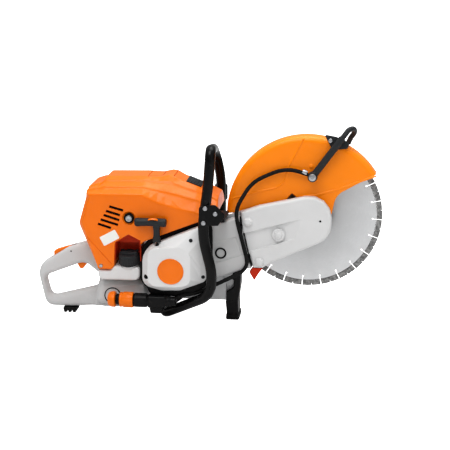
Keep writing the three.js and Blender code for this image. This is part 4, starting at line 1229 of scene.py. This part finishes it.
def blade():
    lo, hi = span("blade")
    radius, slots = (hi.x - lo.x) / 2, 24
    root, foot = radius - 13, radius - 22
    pitch = 2 * math.pi / slots
    phase = math.radians(-3)

    def spot(angle, r, across=0.0):
        return Vector((SPINDLE.x + r * math.cos(angle) - across * math.sin(angle),
                       SPINDLE.z + r * math.sin(angle) + across * math.cos(angle)))

    def core(bm):
        outline = []
        for i in range(slots):
            angle = i * pitch + phase
            outline += [spot(angle, root, -0.8), spot(angle, foot + 2.5, -0.8)]
            outline += [spot(angle, foot, 0.7) + Matrix.Rotation(angle, 2) @ Vector(
                (2.1 * math.cos(a), 2.1 * math.sin(a))) for a in
                (-0.6 - k * (2 * math.pi - 0.9) / 8 for k in range(9))]
            outline += [spot(angle, foot + 2.5, 0.8), spot(angle, root, 0.8)]
            outline += [spot(angle + pitch * k / 6, root) for k in range(1, 6)]
        add_slab(bm, outline, -1.3, 1.3)
    disc = build("blade_core", core)
    boolean(disc, lambda bm: add_slab(bm, circle((SPINDLE.x, SPINDLE.z), 8, 40), -5, 5))
    piece(shade(disc, 30), BLADE_STEEL, "blade_assembly", "blade_steel", "blade")

    def segments(bm):
        for i in range(slots):
            start, end = (i * pitch + 1.1 / radius + phase, (i + 1) * pitch - 1.1 / radius + phase)
            arc = [start + (end - start) * k / 12 for k in range(13)]
            outline = [spot(a, root + 0.3) for a in arc]
            for k in range(12, -1, -1):
                notch = 6 if k == 6 else 0
                outline.append(spot(arc[k], radius - 0.1 - notch))
                if k == 7:
                    outline.append(spot(arc[6] + 1.2 / radius, radius - 0.1))
                if k == 6:
                    outline.append(spot(arc[6] - 1.2 / radius, radius - 0.1))
            add_slab(bm, outline, -1.7, 1.7)
    rim = build("blade_segments", segments)
    piece(shade(bevel(rim, 0.25), 30), GRIT, "blade_assembly", "blade_steel")

    for node, sign in (("outer_flange", 1), ("inner_flange", -1)):
        f_lo, f_hi = span(node)
        face, hub = (f_lo.y, f_hi.y) if sign > 0 else (f_hi.y, f_lo.y)
        r = (f_hi.x - f_lo.x) / 2
        flange = lathe(node + "_disc", [
            (8, face + sign), (r - 8, face + sign), (r - 7.6, face), (r - 0.6, face), (r,
                face + sign * 0.6),
            (r, face + sign * 3.4), (r - 2, face + sign * 4.4), (26, hub - sign * 0.6), (24, hub), (8,
                hub),
        ], (SPINDLE.x, 0, SPINDLE.z), (0, 1, 0), 96)
        piece(shade(flange, 25), TURNED, "blade_assembly", "machined_steel", node)

    b_lo, b_hi = span("arbor_bolt")

    def bolt(bm):
        add_lathe(bm, [(0, b_lo.y), (14.6, b_lo.y), (15, b_lo.y + 0.4), (15, b_lo.y + 2.6),
            (13.6, b_lo.y + 3.2),
                       (0, b_lo.y + 3.2)], (SPINDLE.x, 0, SPINDLE.z), (0, 1, 0), 64)
        add_rings(bm, [
            [(SPINDLE.x + r * math.cos(math.pi * k / 3), y, SPINDLE.z + r * math.sin(math.pi * k / 3))
             for k in range(6)]
            for r, y in ((11.3, b_lo.y + 2), (11.3, b_hi.y - 1), (10.2, b_hi.y))
        ])
    head = build("arbor_bolt_head", bolt)
    piece(melt(head, 0.5, 2, 0.6), STEEL, "blade_assembly", "machined_steel", "arbor_bolt")


# ---------------------------------------------------------------- guard
def guard():
    lo, hi = span("guard_shell")
    half, wall, radius, fillet = hi.y, 2.6, 188, 13
    boss = 27.6

    def rim_profile(size, depth, corner):
        """From the hub out along the near side, round the rim and back along the far side."""
        points = [(boss, -depth)]
        for k in range(7):
            a = math.pi / 2 * k / 6
            points.append((size - corner + corner * math.sin(a), -depth + corner - corner * math.cos(a)))
        return points + [(r, -y) for r, y in reversed(points)]

    def drum(bm):
        outer = rim_profile(radius, half, fillet)
        inner = rim_profile(radius - wall, half - wall, fillet - wall)
        add_lathe(bm, outer + inner[::-1], (SPINDLE.x, 0, SPINDLE.z), (0, 1, 0), 192)
    shell = build("guard_hood", drum)
    room = rounded(rel("guard_shell", [
        (-22, 47), (5, 47), (106, 66), (143, 82), (178, 90), (218, 85), (249, 52), (258, 98, 40),
        (327, 138), (363, 154), (378, 215), (318, 265), (118, 265), (-22, 205),
    ]), 8)
    boolean(shell, lambda bm: add_slab(bm, room, -60, 60), "INTERSECT")

    def ridges(bm):
        """Pressed lines in both sides: a lip along the lower edge and a step from the rim to the rear edge."""
        lip = rel("guard_shell", [(349, 146), (261, 112), (208, 96), (181, 92.5)])
        fold = rel("guard_shell", [(181, 230), (150, 167), (138, 128), (122, 113), (75, 102), (18, 84)])
        for line, width in ((lip, 3.6), (fold, 1.8)):
            for a, b in zip(line, line[1:]):
                strip = bar_outline(a, b, width)
                add_slab(bm, strip, lo.y - 1.3, lo.y + 1.2)
                add_slab(bm, strip, hi.y - 1.2, hi.y + 1.3)
            for point in line[1:-1]:
                add_slab(bm, circle(point, width / 2, 16), lo.y - 1.3, lo.y + 1.2)
                add_slab(bm, circle(point, width / 2, 16), hi.y - 1.2, hi.y + 1.3)
        (x, z), = rel("guard_shell", [(200, 165)])
        add_lathe(bm, [(0, 0), (5, 0), (4, -2.6), (2.6, -3.2), (0, -3.2)], (x, lo.y + 1, z), (0, 1, 0),
            24)
    boolean(shell, ridges, "UNION")
    window = rel("guard_shell", [(144, 85), (156, 100), (169, 89)])
    boolean(shell, lambda bm: add_slab(bm, vectors(window), lo.y - 5, lo.y + 6))
    collar = lathe("guard_collar", [
        (boss, 0), (46, 0), (46, wall), (boss, wall)], (SPINDLE.x, lo.y, SPINDLE.z), (0, 1, 0), 96)
    combine(shell, collar, "UNION", "EXACT")
    piece(melt(shell, 1.05, 3, 0.5), SHEET, "guard", "guard_sheet", "guard_shell")

    # carrying bar over the guard: a thick lower bar, a narrow open loop above it, a clamp plate and a bolt
    y = span("guard_handle")[0].y + 8
    lower = [Vector((x, y, z)) for x, z in rel("guard_handle",
        [(9, 9), (26, 32), (43, 56), (60, 79), (75, 100)])]
    loop = rel("guard_handle", [(67, 89), (79, 106), (89, 118), (99, 118), (101, 108), (93, 94),
        (87, 80)])
    across = (y - 1, y - 1, y + 5, y + 20, y + 32, y + 40, y + 43)
    corners = [Vector((x, side, z)) for (x, z), side in zip(loop, across)]
    curve = [
        0.5 * (2 * b + (c - a) * t + (2 * a - 5 * b + 4 * c - d) * t * t + (3 * b - a - 3 * c + d) * t ** 3)
        for a, b, c, d in zip([corners[0]] + corners, corners, corners[1:], corners[2:] + [corners[-1]])
        for t in (k / 6 for k in range(6))
    ]

    def bar_shape(bm):
        add_sweep(bm, lower, 8.2, 24)
        add_sweep(bm, curve + [corners[-1]], 6.2, 20)
        foot = lower[0]
        add_lathe(bm, [(0, -11), (10.4, -11), (11.4, -9), (11.4, 7), (0, 7)], foot, (0, 1, 0), 40)
    bar = build("guard_bar", bar_shape)
    piece(melt(bar, 0.8, 5, 0.5), DARK, "guard", "dark_plastic", "guard_handle")
    p_lo, p_hi = span("guard_bracket")
    plate_outline = rounded(rel("guard_bracket", [
        (4.7, 35.5, 3), (32.7, 30.5, 12), (62.7, 17.5, 7), (59.7, 3.5, 5), (24.7, -0.5, 8)]))
    plate = soft_slab("guard_plate", plate_outline, p_lo.y, p_hi.y, 2)
    piece(melt(plate, 0.8, 2, 0.5), DARK, "guard", "dark_plastic", "guard_bracket")
    (bx, bz), = rel("guard_bracket", [(19.4, 21.5)])
    screw("plate_bolt", (bx, p_lo.y - 0.5, bz), (0, -1, 0), 5, STEEL, "guard")


# ---------------------------------------------------------------- everything carried over from the frame
def carried_over():
    """Materials and modifiers for the CAD nodes that stay in view; their meshes are left alone."""
    finishes = {
        "crankcase": CAST, "cylinder": CAST, "muffler": MUFFLER, "carburettor": CAST, "piston": CAST,
        "flywheel": CAST, "driven_pulley": CAST, "arm": CAST, "air_filter": FILTER, "spark_plug": WHITE,
        "fan_housing": GREY, "drive_belt": RUBBER, "ignition_module": BRACKET, "rope_pulley": DARK,
    }
    for name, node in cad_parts.items():
        if node.hide_render:
            continue
        for slot in node.material_slots:
            slot.material = finishes.get(name, STEEL)
        weld = node.modifiers.new("weld", "WELD")
        weld.merge_threshold = 0.02 * MM
        bevel(node, 0.5, 2)


# ---------------------------------------------------------------- floor, light and camera
def stage():
    floor = build("floor", lambda bm: add_rings(bm, [
        [(-9000, -9000, z), (9000, -9000, z), (9000, 9000, z), (-9000, 9000, z)] for z in (-20, -0.5)]))
    n = Nodes("pale_floor")
    n.set("Base Color", n.mix(n.noise(3, 2), (0.8, 0.8, 0.8, 1), (0.84, 0.84, 0.84, 1)))
    n.set("Roughness", 0.9)
    n.set("Emission Color", (1, 1, 1, 1))
    seen = n.add("ShaderNodeLightPath")
    n.set("Emission Strength", seen.outputs["Is Camera Ray"])
    floor.data.materials.append(n.material)

    world = bpy.data.worlds.new("studio")
    bpy.context.scene.world = world
    world.use_nodes = True
    tree = world.node_tree
    background = tree.nodes["Background"]
    background.inputs["Color"].default_value = (1, 1, 1, 1)
    heading = tree.nodes.new("ShaderNodeTexCoord")
    split = tree.nodes.new("ShaderNodeSeparateXYZ")
    rise = tree.nodes.new("ShaderNodeMapRange")
    for socket, value in (("From Min", -0.1), ("From Max", 0.9), ("To Min", 0.08), ("To Max", 0.85)):
        rise.inputs[socket].default_value = value
    path = tree.nodes.new("ShaderNodeLightPath")
    level = tree.nodes.new("ShaderNodeMath")
    level.operation = "MAXIMUM"
    tree.links.new(heading.outputs["Generated"], split.inputs[0])
    tree.links.new(split.outputs["Z"], rise.inputs["Value"])
    tree.links.new(rise.outputs["Result"], level.inputs[0])
    tree.links.new(path.outputs["Is Camera Ray"], level.inputs[1])
    tree.links.new(level.outputs[0], background.inputs["Strength"])

    for name, place, size, power in (
        ("key", (-0.35, -1.25, 2.2), 1.2, 19),
        ("top", (0.3, 0.4, 2.4), 1.6, 26),
        ("front", (1.8, -1.8, 0.9), 1.4, 3),
    ):
        light = bpy.data.lights.new(name, "AREA")
        light.size = size
        light.energy = power
        lamp = bpy.data.objects.new(name, light)
        bpy.context.scene.collection.objects.link(lamp)
        lamp.location = place
        lamp.rotation_euler = (Vector((0, 0, 0.2)) - Vector(place)).to_track_quat("-Z", "Y").to_euler()

    turn, rise, distance = math.radians(7), math.radians(14.7), 2.8
    aim = Vector((-0.0212, 0, 0.2275))
    back = Vector((math.sin(turn) * math.cos(rise), -math.cos(turn) * math.cos(rise), math.sin(rise)))
    camera = bpy.data.objects.new("camera", bpy.data.cameras.new("camera"))
    bpy.context.scene.collection.objects.link(camera)
    camera.location = aim + back * distance
    camera.rotation_euler = (-back).to_track_quat("-Z", "Y").to_euler()
    camera.data.lens = 94.4
    camera.data.sensor_width = 36
    bpy.context.scene.camera = camera
    view = bpy.context.scene.view_settings
    view.view_transform = "Standard"
    view.look = "Medium High Contrast"


TURNED = brushed("turned_steel", srgb(190, 192, 195), 0.3, SPINDLE)

hood()
hood_details()
tank()
starter()
rear_handle()
front_leg()
front_handle()
water_line()
cutting_arm()
blade()
guard()
carried_over()
stage()
